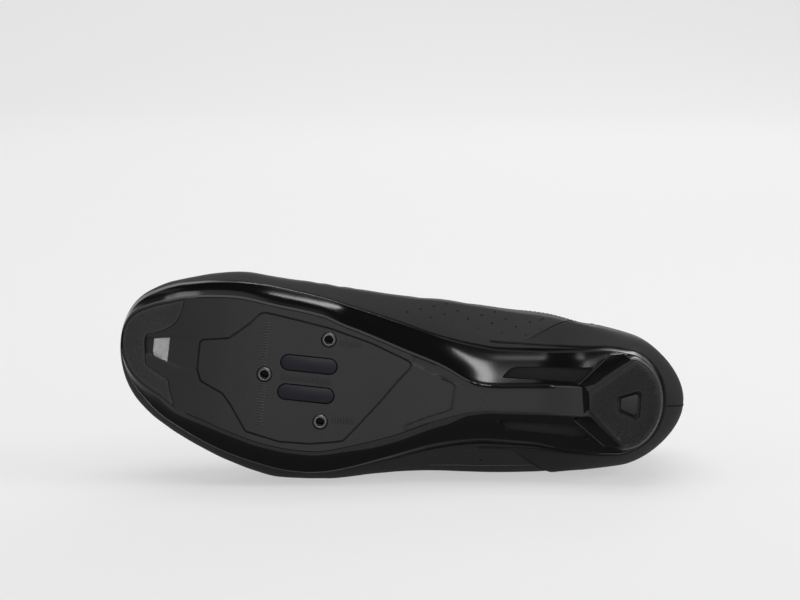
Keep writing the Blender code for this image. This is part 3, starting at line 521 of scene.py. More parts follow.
# A material: its colour and roughness vary between two values with the group's patches, and its grain is a bump
def newFinish(name, dark, light, smooth, rough, group=None, scales=(), bump=0.3, depth=0.0001, dust=0.0,
              metallic=0.0, ior=1.5, specular=0.5, sheen=0.0):
    made = bpy.data.materials.new(name)
    made.use_nodes = True
    tree = made.node_tree
    shader = tree.nodes["Principled BSDF"]
    for label, value in (("Metallic", metallic), ("IOR", ior), ("Specular IOR Level", specular),
                         ("Sheen Weight", sheen)):
        shader.inputs[label].default_value = value
    place = tree.nodes.new("ShaderNodeTexCoord").outputs["Object"]
    grain = tree.nodes.new("ShaderNodeGroup")
    grain.node_tree = group or grainGroup
    tree.links.new(place, grain.inputs["Vector"])
    for label, value in scales:
        grain.inputs[label].default_value = value
    patch = tree.nodes.new("ShaderNodeMapRange")
    patch.inputs["From Min"].default_value, patch.inputs["From Max"].default_value = 0.3, 0.7
    tree.links.new(grain.outputs["Patch"], patch.inputs["Value"])
    shade = tree.nodes.new("ShaderNodeMix")
    shade.data_type = "RGBA"
    shade.inputs["A"].default_value, shade.inputs["B"].default_value = (*dark, 1), (*light, 1)
    tree.links.new(patch.outputs[0], shade.inputs["Factor"])
    colour = shade.outputs["Result"]
    roughness = tree.nodes.new("ShaderNodeMapRange")
    roughness.inputs["To Min"].default_value, roughness.inputs["To Max"].default_value = smooth, rough
    tree.links.new(grain.outputs["Patch"], roughness.inputs["Value"])
    if dust > 0:
        specks = tree.nodes.new("ShaderNodeGroup")
        specks.node_tree = dustGroup
        specks.inputs["Amount"].default_value = dust
        tree.links.new(place, specks.inputs["Vector"])
        layer = tree.nodes.new("ShaderNodeMix")
        layer.data_type = "RGBA"
        layer.inputs["B"].default_value = dustLook["tone"]
        tree.links.new(mathNode(tree, "MULTIPLY", specks.outputs["Mask"], dustLook["share"]), layer.inputs["Factor"])
        tree.links.new(colour, layer.inputs["A"])
        colour = layer.outputs["Result"]
    tree.links.new(colour, shader.inputs["Base Color"])
    tree.links.new(roughness.outputs[0], shader.inputs["Roughness"])
    relief = tree.nodes.new("ShaderNodeBump")
    relief.inputs["Strength"].default_value = bump
    relief.inputs["Distance"].default_value = depth
    tree.links.new(grain.outputs["Height"], relief.inputs["Height"])
    tree.links.new(relief.outputs["Normal"], shader.inputs["Normal"])
    return made


def scalesOf(cell, fine, patch):
    return (("Cell Scale", cell), ("Fine Scale", fine), ("Patch Scale", patch))


finishes = {
    "plate": newFinish("mattePlastic", (0.0112, 0.0112, 0.0112), (0.0142, 0.0142, 0.0142), 0.52, 0.64,
                       scales=scalesOf(2600, 3800, 22), bump=0.35, dust=0.04, specular=0.24),
    "flange": newFinish("glossPlastic", (0.0012, 0.0010, 0.0010), (0.0018, 0.0014, 0.0014), 0.12, 0.20,
                        scales=scalesOf(220, 500, 14), bump=0.02, ior=1.40, specular=0.14),
    "pocket": newFinish("pocketPlastic", (0.0085, 0.008, 0.008), (0.0110, 0.0104, 0.0104), 0.55, 0.65,
                        scales=scalesOf(1800, 3000, 30), bump=0.4, specular=0.1),
    # The heel pad and the toe pad are one rubber in two copies: the toe pad's lighter copy is painted light on its
    # upturned face, the heel pad's darker copy is painted shade
    "pad": newFinish("padRubberShaded", (0.0170, 0.0164, 0.0182), (0.0215, 0.0208, 0.0230), 0.72, 0.85,
                     scales=scalesOf(1500, 3000, 35), bump=0.35, dust=0.25, specular=0.16),
    "toe": newFinish("toeRubberLit", (0.0290, 0.0284, 0.0300), (0.0360, 0.0352, 0.0372), 0.72, 0.85,
                     scales=scalesOf(1500, 3000, 35), bump=0.35, dust=0.25, specular=0.2),
    "upper": newFinish("microfibre", (0.0122, 0.0113, 0.0115), (0.0165, 0.0153, 0.0156), 0.62, 0.76,
                       scales=scalesOf(1250, 2600, 20), bump=0.7, depth=0.00018, dust=0.06, specular=0.16, sheen=0.01),
    "counter": newFinish("counterFilm", (0.0115, 0.011, 0.012), (0.0145, 0.014, 0.0152), 0.50, 0.62,
                         scales=scalesOf(2400, 4200, 16), bump=0.2, specular=0.1),
    "steel": newFinish("steel", (0.26, 0.26, 0.26), (0.34, 0.34, 0.34), 0.20, 0.32,
                       scales=scalesOf(900, 4000, 300), bump=0.08, metallic=1.0),
    # black steel of the inserts' outer chamfer; also painted shade in the insert bores and on the screen plate behind
    # the vent's wires
    "blackSteelAndShade": newFinish("blackSteelAndShade", (0.020, 0.020, 0.021), (0.028, 0.028, 0.029), 0.35, 0.5,
                            scales=scalesOf(900, 4000, 300), bump=0.1),
    "mesh": newFinish("meshSteel", (0.44, 0.44, 0.45), (0.56, 0.56, 0.57), 0.32, 0.45,
                      scales=scalesOf(900, 4000, 200), bump=0.1, metallic=0.9),
    "plug": newFinish("plugPlastic", (0.0100, 0.0105, 0.0150), (0.0125, 0.0130, 0.0180), 0.42, 0.52,
                      scales=scalesOf(2000, 3800, 80), bump=0.25, specular=0.12),
    # dark strokes of painted shade for the engraved tick marks
    "mark": newFinish("tickPaintedShade", (0.0045, 0.0045, 0.0045), (0.0065, 0.0065, 0.0065), 0.5, 0.6,
                      scales=scalesOf(2000, 3800, 80), bump=0.1, specular=0.3),
    "hole": newFinish("holeShade", (0.0015, 0.0015, 0.0015), (0.0025, 0.0025, 0.0025), 0.8, 0.9,
                      scales=scalesOf(2000, 3800, 80), bump=0.1, specular=0.1),
    "fabric": newFinish("tongueFabric", (0.012, 0.012, 0.013), (0.018, 0.018, 0.019), 0.85, 0.95, group=weaveGroup,
                        scales=(("Thread Scale", 5200.0),), bump=0.7, depth=0.0003, sheen=0.08),
    "foam": newFinish("insoleCloth", (0.030, 0.030, 0.033), (0.042, 0.042, 0.046), 0.85, 0.95, group=weaveGroup,
                      scales=(("Thread Scale", 3800.0),), bump=0.6, depth=0.0003, sheen=0.08),
    "strap": newFinish("strapSynthetic", (0.013, 0.013, 0.0135), (0.018, 0.018, 0.0185), 0.5, 0.62,
                       scales=scalesOf(1500, 3200, 30), bump=0.45, depth=0.00014, specular=0.35),
    "thread": newFinish("threadBlack", (0.020, 0.020, 0.021), (0.030, 0.030, 0.031), 0.6, 0.75,
                        scales=scalesOf(3000, 5000, 200), bump=0.4),
}


# Camera: the photo's angle, with the sole face on and a little from above
camera = {"elevation": 8.56, "distance": 1.6, "aim": (-0.00085, -0.064, 0.0999), "pixels": 3038.0, "width": 800}


def makeCamera():
    data = bpy.data.cameras.new("camera")
    data.lens = camera["pixels"] / camera["width"] * data.sensor_width
    eye = newObject("camera", data)
    angle = math.radians(camera["elevation"])
    back = Vector((0, -math.cos(angle), math.sin(angle)))
    eye.location = Vector(camera["aim"]) + back * camera["distance"]
    eye.rotation_euler = back.to_track_quat("Z", "Y").to_euler()
    bpy.context.scene.camera = eye


# Floor that sweeps up into a backdrop, and soft studio lights; each light has a place, a target, a size and a power
studio = {
    "sweepAt": 2.8, "sweepRound": 0.7, "sweepSteps": 16, "wide": 4.0, "front": -4.0, "high": 2.6, "drop": 0.0002,
    "paper": 0.28, "glow": 0.49, "world": 0.38,
    "lights": {
        "keyLight": ((0.0, 0.15, 1.5), (0.0, 0.0, 0.0), (1.6, 1.1), 12.0),
        "wallLight": ((0.0, 1.2, 2.2), (0.0, 2.6, 0.4), (3.0, 0.8), 22.0),
        "leftLight": ((-1.5, -0.5, 0.8), (0.0, 0.0, 0.08), (0.5, 0.9), 2.4),
        "rightLight": ((1.5, -0.2, 0.7), (0.0, 0.0, 0.08), (0.5, 0.9), 12.0),
        "backLight": ((0.4, 2.2, 1.1), (0.0, 0.0, 0.05), (1.2, 0.7), 10.0),
        "frontLight": ((0.0, -2.0, 0.35), (0.0, 0.0, 0.05), (2.4, 0.9), 7.0),
        "glossStrip": ((0.22, -1.11, 0.88), (0.0, -0.08, 0.12), (0.20, 0.66), 22.0),
        "glossToe": ((-0.75, 0.14, 1.12), (-0.09, -0.08, 0.15), (0.60, 0.35), 7.0),
        "glossChannel": ((-0.04, -1.33, 0.45), (0.05, -0.08, 0.12), (0.22, 0.16), 1.6),
    },
}


def makeStudio():
    bend, radius, steps = studio["sweepAt"] - studio["sweepRound"], studio["sweepRound"], studio["sweepSteps"]
    profile = [(studio["front"], 0.0), (0.0, 0.0), (bend, 0.0)]
    for i in range(1, steps + 1):
        angle = math.pi / 2 * i / steps
        profile.append((bend + radius * math.sin(angle), radius * (1 - math.cos(angle))))
    profile.append((studio["sweepAt"], studio["high"]))
    shape = bmesh.new()
    rows = [[shape.verts.new((side * studio["wide"], y, z - studio["drop"])) for y, z in profile] for side in (-1, 1)]
    for i in range(len(profile) - 1):
        shape.faces.new((rows[0][i], rows[1][i], rows[1][i + 1], rows[0][i + 1]))
    mesh = bpy.data.meshes.new("backdrop")
    shape.to_mesh(mesh)
    shape.free()
    mesh.shade_smooth()
    sweep = newObject("backdrop", mesh)
    tone = studio["paper"]
    paper = bpy.data.materials.new("backdropPaper")
    paper.use_nodes = True
    shader = paper.node_tree.nodes["Principled BSDF"]
    shader.inputs["Roughness"].default_value = 0.9
    shader.inputs["Specular IOR Level"].default_value = 0.1
    shader.inputs["Base Color"].default_value = (tone, tone, tone, 1)
    shader.inputs["Emission Color"].default_value = (1, 1, 1, 1)
    shader.inputs["Emission Strength"].default_value = studio["glow"]
    mesh.materials.append(paper)
    for name, (spotAt, target, size, power) in studio["lights"].items():
        data = bpy.data.lights.new(name, "AREA")
        data.shape = "RECTANGLE"
        data.size, data.size_y = size
        data.energy = power
        lamp = newObject(name, data)
        lamp.location = spotAt
        lamp.rotation_euler = (Vector(spotAt) - Vector(target)).to_track_quat("Z", "Y").to_euler()
        lamp.visible_glossy = name != "frontLight"  # the gloss flange mirrors a dark room
        lamp.visible_diffuse = not name.startswith("gloss")  # these only draw the highlights
    world = bpy.context.scene.world or bpy.data.worlds.new("world")
    bpy.context.scene.world = world
    world.use_nodes = True
    world.node_tree.nodes["Background"].inputs["Color"].default_value = (1, 1, 1, 1)
    world.node_tree.nodes["Background"].inputs["Strength"].default_value = studio["world"]
    bpy.context.scene.view_settings.view_transform = "Standard"


makeCamera()
makeStudio()
print("scene: camera, floor and lights")


# Geometry Nodes for what repeats: one small shape on every point of a mesh, turned by the point's own angles
stampShapes = {
    "dot": ("GeometryNodeMeshCone", (("Vertices", 8), ("Radius Top", 0.28), ("Radius Bottom", 0.5), ("Depth", 1.0))),
    "stitch": ("GeometryNodeMeshUVSphere", (("Segments", 8), ("Rings", 4), ("Radius", 0.5))),
}


def makeStampTree(name, kind):
    tree, start, end = newGroup(name, "GeometryNodeTree",
                                (("Geometry", "NodeSocketGeometry", None), ("Length", "NodeSocketFloat", 0.001),
                                 ("Width", "NodeSocketFloat", 0.001), ("Height", "NodeSocketFloat", 0.0002),
                                 ("Finish", "NodeSocketMaterial", None)), (("Geometry", "NodeSocketGeometry"),))
    node, values = stampShapes[kind]
    shape = tree.nodes.new(node)
    for label, value in values:
        shape.inputs[label].default_value = value
    size = tree.nodes.new("ShaderNodeCombineXYZ")
    for axis, label in (("X", "Length"), ("Y", "Width"), ("Z", "Height")):
        tree.links.new(start.outputs[label], size.inputs[axis])
    angles = tree.nodes.new("GeometryNodeInputNamedAttribute")
    angles.data_type = "FLOAT_VECTOR"
    angles.inputs["Name"].default_value = "turn"
    turn = tree.nodes.new("FunctionNodeEulerToRotation")
    tree.links.new(angles.outputs["Attribute"], turn.inputs[0])
    spread = tree.nodes.new("GeometryNodeInstanceOnPoints")
    tree.links.new(start.outputs["Geometry"], spread.inputs["Points"])
    tree.links.new(shape.outputs["Mesh"], spread.inputs["Instance"])
    tree.links.new(turn.outputs[0], spread.inputs["Rotation"])
    tree.links.new(size.outputs[0], spread.inputs["Scale"])
    real = tree.nodes.new("GeometryNodeRealizeInstances")
    tree.links.new(spread.outputs[0], real.inputs[0])
    skin = tree.nodes.new("GeometryNodeSetMaterial")
    tree.links.new(real.outputs[0], skin.inputs["Geometry"])
    tree.links.new(start.outputs["Finish"], skin.inputs["Material"])
    tree.links.new(skin.outputs[0], end.inputs["Geometry"])
    return tree


stampTrees = {kind: makeStampTree(kind + "Rows", kind) for kind in stampShapes}


# Stamps a shape at each (point, outward normal, direction), all in the shoe's own frame
def stamp(name, kind, spots, size, finish, slot, smooth=40):
    mesh = bpy.data.meshes.new(name)
    mesh.from_pydata([point for point, _, _ in spots], [], [])
    angles = []
    for _, out, along in spots:
        out = out.normalized()
        along = (along - out * along.dot(out)).normalized()
        angles += list(Matrix((along, out.cross(along), out)).transposed().to_euler())
    mesh.attributes.new("turn", "FLOAT_VECTOR", "POINT").data.foreach_set("vector", angles)
    piece = newObject(name, mesh)
    rows = piece.modifiers.new(kind + "Rows", "NODES")
    tree = stampTrees[kind]
    rows.node_group = tree
    for label, value in zip(("Length", "Width", "Height", "Finish"), (*size, finish)):
        rows[tree.interface.items_tree[label].identifier] = value
    return place(piece, finish, slot, (), smooth)


def insideOutline(corners, x, y, margin=0.0):
    within = False
    for i, (ax, ay) in enumerate(corners):
        bx, by = corners[i - 1]
        if (ay > y) != (by > y) and x < ax + (bx - ax) * (y - ay) / (by - ay):
            within = not within
        reach = Vector((bx - ax, by - ay))
        t = min(1.0, max(0.0, (Vector((x - ax, y - ay))).dot(reach) / max(reach.length_squared, 1e-12)))
        if math.dist((x, y), (ax + reach.x * t, ay + reach.y * t)) < margin:
            return False
    return within


# A diagonal lattice of places inside an outline
def latticeIn(corners, pitch, margin, slant=0.0):
    lowX, highX = min(x for x, _ in corners), max(x for x, _ in corners)
    lowY, highY = min(y for _, y in corners), max(y for _, y in corners)
    found = []
    for row in range(int((highY - lowY) / (pitch * 0.866)) + 2):
        y = lowY + row * pitch * 0.866
        for column in range(-2, int((highX - lowX) / pitch) + 3):
            x = lowX + (column + 0.5 * (row % 2)) * pitch + slant * (y - lowY)
            if insideOutline(corners, x, y, margin):
                found.append((x, y))
    return found


# Upper: one hollow shell, trimmed at the collar and the throat; places along it are shares of its length
upper = {
    "stations": 150, "footColumns": 5, "rimColumns": 12, "crownColumns": 30, "throatSteps": 14, "edgeSteps": 4,
    "throatBack": 0.25, "throatFront": 0.70, "throatWidth": 0.036, "throatTaper": 0.25, "throatRound": 0.05,
    "collar": ((-0.10, 0.88), (0.035, 0.88), (0.07, 0.82), (0.12, 0.72), (0.18, 0.65), (0.24, 0.63), (0.29, 0.67),
               (0.33, 0.75), (0.36, 0.84), (0.378, 0.93)),
    "collarLow": 0.2, "collarEnd": 0.378, "collarReach": 0.42, "closed": 0.999, "crownLength": 0.055,
    "collarPad": 0.0035, "padDepth": 0.030, "padEnd": 0.38, "padFade": 0.06, "padLead": 0.18, "padCurve": 0.7,
}
collarCurve = Curves(("at", "height"), upper["collar"])


# The level at which a rising value passes zero, or the highest level where it stays below
def crossing(over, low, high):
    if over(high) <= 0:
        return high
    for _ in range(24):
        middle = (low + high) / 2
        if over(middle) > 0:
            high = middle
        else:
            low = middle
    return (low + high) / 2


def collarLevel(share, side):
    def over(level):
        point = upperPoint(share, side, level, 0.0)
        at = point.x / shoe["length"]
        if at > upper["collarEnd"]:
            return -1.0
        return point.z - collarCurve.at("height", at) * shoe["instep"]

    return crossing(over, upper["collarLow"], 1.0)


def throatHalf(share):
    back, front = upper["throatBack"], upper["throatFront"]
    if not back <= share < front:
        return 0.0
    left = min(1.0, (front - share) / upper["throatRound"])
    taper = 1 - upper["throatTaper"] * (share - back) / (front - back)
    return upper["throatWidth"] / 2 * taper * math.sqrt(max(0.0, 1 - (1 - left) ** 2))


def throatLevel(share, side):
    half = throatHalf(share)
    if half <= 0:
        return 1.0
    reach = abs(widestLine(share, side, 0).y - crestLine(share, 0).y)
    across = min(1.0, half / max(reach, 1e-6))
    return min(1.0, math.acos(across ** (1 / upperCurves.at("square", share))) * 2 / math.pi)


def topLevel(share, side):
    top = throatLevel(share, side)
    if share < upper["collarReach"]:
        top = min(top, collarLevel(share, side))
    return top


def upperShares():
    front, back = upper["throatFront"], upper["throatFront"] - upper["throatRound"]
    shares = [s for s in stations(upper["stations"]) if not back - 1e-4 < s < front + 1e-4]
    steps = upper["throatSteps"]
    shares += [back + (front - back) * math.sin(math.pi / 2 * i / steps) for i in range(steps + 1)]
    return sorted(shares)


def upperLevels(top):
    levels = [-2 + i / upper["footColumns"] for i in range(upper["footColumns"])]
    levels += [-1 + i / upper["rimColumns"] for i in range(upper["rimColumns"])]
    count = upper["crownColumns"]
    return levels + [top * i / count for i in range(count + 1)]


def smoothStep(t):
    t = min(max(t, 0.0), 1.0)
    return t * t * (3 - 2 * t)


# Soft creases where the foot bends: place, level, width, height, slant and depth
creases = (
    (0.640, 0.35, 0.010, 0.32, 0.05, 0.0008),
    (0.612, 0.42, 0.008, 0.30, 0.06, 0.0007),
    (0.668, 0.30, 0.009, 0.25, 0.03, 0.0006),
    (0.470, 0.20, 0.016, 0.22, -0.07, 0.0005),
    (0.385, 0.30, 0.014, 0.20, -0.06, 0.0006),
)


def creaseDepth(share, level):
    total = 0.0
    for at, middle, width, height, slant, depth in creases:
        across = (share - at - slant * (level - middle)) / width
        total += depth * math.exp(-across * across - ((level - middle) / height) ** 2)
    return total


# How far the collar's padding swells into the shoe; it fades towards the throat
def collarPadding(share, level, top):
    below = (top - level) * upper["crownLength"] if level > 0 else 1.0  # rough distance under the edge
    depth = below / upper["padDepth"] + upper["padLead"]
    if top >= upper["closed"] or share >= upper["padEnd"] or depth >= 1.0:
        return 0.0
    fade = smoothStep((upper["padEnd"] - share) / upper["padFade"])
    return upper["collarPad"] * fade * math.sin(math.pi * depth) ** upper["padCurve"]


def makeUpper():
    shares = upperShares()
    grid = {}
    for side in (1, -1):
        for i, share in enumerate(shares):
            top = topLevel(share, side)
            for j, level in enumerate(upperLevels(top)):
                outer = upperPoint(share, side, level, -creaseDepth(share, level))
                inner = upperPoint(share, side, level, -shoe["wall"] - collarPadding(share, level, top))
                grid[side, i, j] = (outer, inner, top < upper["closed"])
    columns = len(upperLevels(1.0))
    edgeSteps = upper["edgeSteps"]

    def build(shape):
        outer, inner, rims = {}, {}, {}
        for key, (a, b, _) in grid.items():
            outer[key] = shape.verts.new(a)
            inner[key] = shape.verts.new(b)
        for side in (1, -1):
            for i in range(len(shares)):
                a, b, isOpen = grid[side, i, columns - 1]
                lead = a - grid[side, i, columns - 2][0]
                lead = lead.normalized() * (a - b).length / 2 if isOpen else Vector()
                row = []
                for k in range(1, edgeSteps):
                    angle = math.pi * k / edgeSteps
                    centre = (a + b) / 2
                    row.append(shape.verts.new(centre + (a - centre) * math.cos(angle) + lead * math.sin(angle)))
                rims[side, i] = [outer[side, i, columns - 1]] + row + [inner[side, i, columns - 1]]
            for i in range(len(shares) - 1):
                for j in range(columns - 1):
                    for sheet in (outer, inner):
                        shape.faces.new((sheet[side, i, j], sheet[side, i + 1, j], sheet[side, i + 1, j + 1],
                                         sheet[side, i, j + 1]))
                shape.faces.new((outer[side, i, 0], outer[side, i + 1, 0], inner[side, i + 1, 0], inner[side, i, 0]))
                if grid[side, i, columns - 1][2] or grid[side, i + 1, columns - 1][2]:
                    for k in range(edgeSteps):
                        shape.faces.new((rims[side, i][k], rims[side, i + 1][k], rims[side, i + 1][k + 1],
                                         rims[side, i][k + 1]))

    piece = newObject("upperShell", closedMesh("upperShell", build, 2e-5))
    return place(piece, finishes["upper"], "upper_synthetic", ["upper"], 50)


# Heel counter: a smooth film over the back of the upper
counter = {
    "thickness": 0.001, "low": -0.9, "high": 0.25, "columns": 18, "stations": 56, "reach": 0.33,
    "thinFrom": 0.78, "thinning": 0.65,
    "front": ((0.16, 0.70), (0.17, 0.42), (0.20, 0.32), (0.25, 0.245), (0.30, 0.19), (0.322, 0.155), (0.335, 0.05)),
}
counterCurve = Curves(("at", "height"), counter["front"])


def counterTop(share, side):
    def over(level):
        point = upperPoint(share, side, level, shoe["curvedGap"])
        at = point.x / shoe["length"]
        if at < counter["front"][0][0]:
            return -1.0
        return point.z / shoe["instep"] - counterCurve.at("height", at)

    low, high = counter["low"], counter["high"]
    return low if over(high) > 0 and over(low) >= 0 else crossing(over, low, high)


def makeCounter():
    shares = [counter["reach"] * (i / counter["stations"]) ** 1.5 for i in range(counter["stations"] + 1)]

    def sheet(thickness):
        rows = []
        for k in range(counter["columns"] + 1):
            row = []
            past = (k / counter["columns"] - counter["thinFrom"]) / 0.22  # the film grows thin towards its upper edge
            grow = shoe["curvedGap"] + thickness * (1 - counter["thinning"] * smoothStep(past))
            for side, order in ((1, list(reversed(shares))), (-1, shares[1:])):
                for share in order:
                    top = counterTop(share, side)
                    level = counter["low"] + (top - counter["low"]) * k / counter["columns"]
                    row.append(upperPoint(share, side, level, grow))
            rows.append(row)
        return rows

    piece = newObject("heelCounterFilm", sheetMesh("heelCounterFilm", sheet(0.0), sheet(counter["thickness"])))
    return place(bevel(piece, 0.00015, 2), finishes["counter"], "counter_film", ["heel_counter"], 50)


bothSides = ((1, "Inner"), (-1, "Outer"))
# Small things on the upper: rows of perforations, seams and edges
details = {
    "holeStart": (0.491, -0.66), "holeAcross": (-0.020, 0.155), "holeAlong": (-0.0435, -0.005), "holeRows": 6,
    "holeStop": 0.25, "holeLift": 0.02, "holeSize": (0.0014, 0.0011, 0.00016),
    "holePair": ((0.260, -0.254), (0.256, -0.518)), "outerHole": (0.332, -0.568),
    "seam": ((0.425, -0.43), (0.337, -0.39), (0.244, -0.42)), "seamSize": (0.0020, 0.0004, 0.0003), "seamStep": 0.0012,
    "edgeSize": (0.0024, 0.0007, 0.0005), "edgeStep": 0.0011, "edgeSink": 0.3, "edgeEnds": (-0.89, 0.24),
    "backSeam": (-0.88, 0.22), "stitchSize": (0.0019, 0.00045, 0.00035), "stitchStep": 0.0028, "stitchInset": 0.0026,
    "stitchBelow": 0.06, "stitchEnd": 0.68, "stitchRaise": 0.0001,
}


def onUpper(share, side, level, grow=0.0):
    point = upperPoint(share, side, level, grow)
    over = upperPoint(share, side, level + 0.02, grow) - upperPoint(share, side, level - 0.02, grow)
    front, back = min(1.0, share + 0.004), max(0.0, share - 0.004)
    ahead = upperPoint(front, side, level, grow) - upperPoint(back, side, level, grow)
    out = ahead.cross(over) * side
    return point, out.normalized(), ahead


# Stamps laid end to end along a line on the upper
def stampLine(name, marks, step, size, finish, slot, grow=0.0):
    spots = []
    for (shareA, sideA, levelA), (shareB, _, levelB) in zip(marks, marks[1:]):
        start, end = upperPoint(shareA, sideA, levelA, grow), upperPoint(shareB, sideA, levelB, grow)
        count = max(1, round((end - start).length / step))
        for k in range(count):
            t = (k + 0.5) / count
            point, out, _ = onUpper(shareA + (shareB - shareA) * t, sideA, levelA + (levelB - levelA) * t, grow)
            spots.append((point, out, end - start))
    return stamp(name, "stitch", spots, size, finish, slot)


def makeDetails():
    spots = []
    (share, level), across, along = details["holeStart"], details["holeAcross"], details["holeAlong"]
    for row in range(details["holeRows"]):
        for k in range(4 - row % 2):
            at = share + along[0] * row + across[0] * k
            high = level + along[1] * row + across[1] * k + (details["holeLift"] if k == 3 else 0.0)
            if at > details["holeStop"]:
                spots.append(onUpper(at, 1, high))
    spots += [onUpper(at, 1, high) for at, high in details["holePair"]]
    spots.append(onUpper(details["outerHole"][0], -1, details["outerHole"][1]))
    # the perforations are dark dots of painted shade, for the shade inside the holes
    stamp("perforations", "dot", spots, details["holeSize"], finishes["hole"], "upper_synthetic")
    # dark strokes of painted shade along the heel counter film's edges and down the back seam
    edgeLook = (details["edgeStep"], details["edgeSize"], finishes["hole"], "counter_film")
    low, high = details["edgeEnds"]
    for side, name in bothSides:
        shares = [counter["reach"] * i / 40 for i in range(3, 41)]
        marks = [(share, side, counterTop(share, side)) for share in shares]
        marks = [mark for mark in marks if low < mark[2] < high]
        grow = shoe["curvedGap"] + counter["thickness"] * details["edgeSink"]
        stampLine("counterEdge" + name, marks, *edgeLook, grow)
    low, high = details["backSeam"]
    marks = [(0.0, 1, low + (high - low) * i / 8) for i in range(9)]
    stampLine("backSeam", marks, *edgeLook, shoe["curvedGap"] + counter["thickness"])
    for side, name in bothSides:
        shares = [details["stitchEnd"] * i / 90 for i in range(91)]
        marks = [(share, side, topLevel(share, side) - details["stitchBelow"]) for share in shares]
        stampLine("edgeStitch" + name, marks, details["stitchStep"], details["stitchSize"], finishes["thread"],
                  "upper_synthetic", details["stitchRaise"])
    marks = [(at, -1, level) for at, level in details["seam"]]
    stampLine("outerSeam", marks, details["seamStep"], details["seamSize"], finishes["thread"], "upper_synthetic")


# Sole: a gloss shell with a flange and rim, and a matt plate let into it
sole = {
    "stations": 170, "plateDepth": 0.0012, "plateColumns": 64, "flangeSteps": 14, "flangeEnd": 0.97,
    "lipMost": 0.4, "lipSeat": 0.0004, "pocketFloor": 0.0018, "cornerRound": 0.0008, "ventDepth": 0.0024,
    "grooveWidth": 0.0011, "grooveDepth": 0.0016, "neckStep": 0.0008, "scoopDepth": 0.0012,
}
# Width of the plate's matt chamfer on the two sides, in metres
lipCurves = Curves(("at", "outer", "inner"), (
    (0.00, 0.0006, 0.0006), (0.33, 0.0010, 0.0007), (0.37, 0.0014, 0.0008), (0.41, 0.0036, 0.0009),
    (0.53, 0.0040, 0.0011), (0.59, 0.0024, 0.0011), (0.66, 0.0021, 0.0011), (0.80, 0.0022, 0.0010),
    (0.86, 0.0027, 0.0009), (0.93, 0.0015, 0.0008), (1.00, 0.0006, 0.0006),
))


# Height over the plate's edge as a share of the drop to the rim, steep beside the plate and flat at the rim
flangeCurve = Curves(("at", "rise"), ((0.0, 0.0), (0.06, 0.16), (0.14, 0.28), (0.5, 0.72), (0.8, 0.93), (1.0, 1.0)))


def lowRim(share, side):
    x, _ = edge(share, side, 0, "rim")
    x, y = edge(share, side, flare(x) * lean(share, side), "rim")
    return Vector((x, y, footbed(x) - shoe["flangeBase"]))


def plateEdge(share, side):
    x, y = edge(share, side, 0, "plate")
    return Vector((x, y, underside(x)))


# A point of the flange between the plate's edge, at 0, and the low rim, at 1
def flangePoint(share, side, t):
    start, end = plateEdge(share, side), lowRim(share, side)
    point = start.lerp(end, t)
    point.z = start.z + flangeCurve.at("rise", t) * (end.z - start.z)
    return point


def lipShare(share, side):
    start, end = plateEdge(share, side), lowRim(share, side)
    reach = math.hypot(end.x - start.x, end.y - start.y)
    width = lipCurves.at("outer" if side < 0 else "inner", start.x / shoe["length"])
    return min(sole["lipMost"], width / max(reach, 1e-5))


def makeSoleShell():
    shares = stations(sole["stations"])
    steps = sole["flangeSteps"]

    def flangeLine(t):
        def pointAt(share, side):
            low = lipShare(share, side)
            return flangePoint(share, side, low + (sole["flangeEnd"] - low) * t)
        return pointAt

    def well(share, side):
        point = flangePoint(share, side, lipShare(share, side))
        point.z = underside(point.x) + max(sole["plateDepth"], point.z - underside(point.x) + sole["lipSeat"])
        return point

    def rimAt(t, inset=0.0):
        def pointAt(share, side):
            x, y = edge(share, side, inset, "rim")
            return lowRim(share, side).lerp(Vector((x, y, footbed(x) + shoe["rimRise"])), t)
        return pointAt

    def bed(share, side):
        point = footLine(share, side, shoe["gap"])
        point.z -= shoe["gap"]
        return point

    outlines = [well] + [flangeLine((i / steps) ** 1.25) for i in range(steps + 1)]
    outlines += [rimAt(t) for t in (0.08, 0.2, 0.4, 0.6, 0.8, 0.95)]
    outlines += [rimAt(1.0, 0.0004), rimAt(1.0, shoe["rimWall"]), bed]
    piece = newObject("soleShell", ringMesh("soleShell", [ringOf(line, shares) for line in outlines]))
    tools = []
    for x, y in boltPlaces().values():
        tools.append(cylinderMesh((x, y), 0.004, -0.01, 0.0063, 48))
    for corners in (innerPocket, outerPocket):
        places = denser(roundCorners(spotsOf(corners), sole["cornerRound"]), 0.003)
        tools.append(prismMesh("pocket", places, -0.01, lambda x: footbed(x) - sole["pocketFloor"]))
    tools.append(ventMesh())
    carve(piece, tools)
    pockets = [spotsOf(corners) for corners in (innerPocket, outerPocket)]
    for polygon in piece.data.polygons:
        x, y, _ = polygon.center
        isFloor = polygon.normal.z < -0.7 and any(insideOutline(corners, x, y) for corners in pockets)
        polygon.material_index = int(isFloor)
    return place(piece, [finishes["flange"], finishes["pocket"]], "nylon", ["sole"], 30)


def cylinderMesh(centre, radius, low, high, sides):
    angles = [2 * math.pi * i / sides for i in range(sides)]
    corners = [(centre[0] + radius * math.cos(angle), centre[1] + radius * math.sin(angle)) for angle in angles]
    return prismMesh("cylinder", corners, low, high)


def ventMesh():
    return prismMesh("vent", spotsOf(screenCorners), -0.01, lambda x: underside(x) + sole["ventDepth"])


def pillCorners(centre, length, width, rounds=14):
    straight = (length - width) / 2
    corners = []
    for end in (1, -1):
        for i in range(rounds + 1):
            angle = math.pi * (i / rounds - 0.5) + (0 if end > 0 else math.pi)
            ahead, aside = width / 2 * math.cos(angle), width / 2 * math.sin(angle)
            corners.append((centre[0] + end * straight + ahead, centre[1] + aside))
    return corners


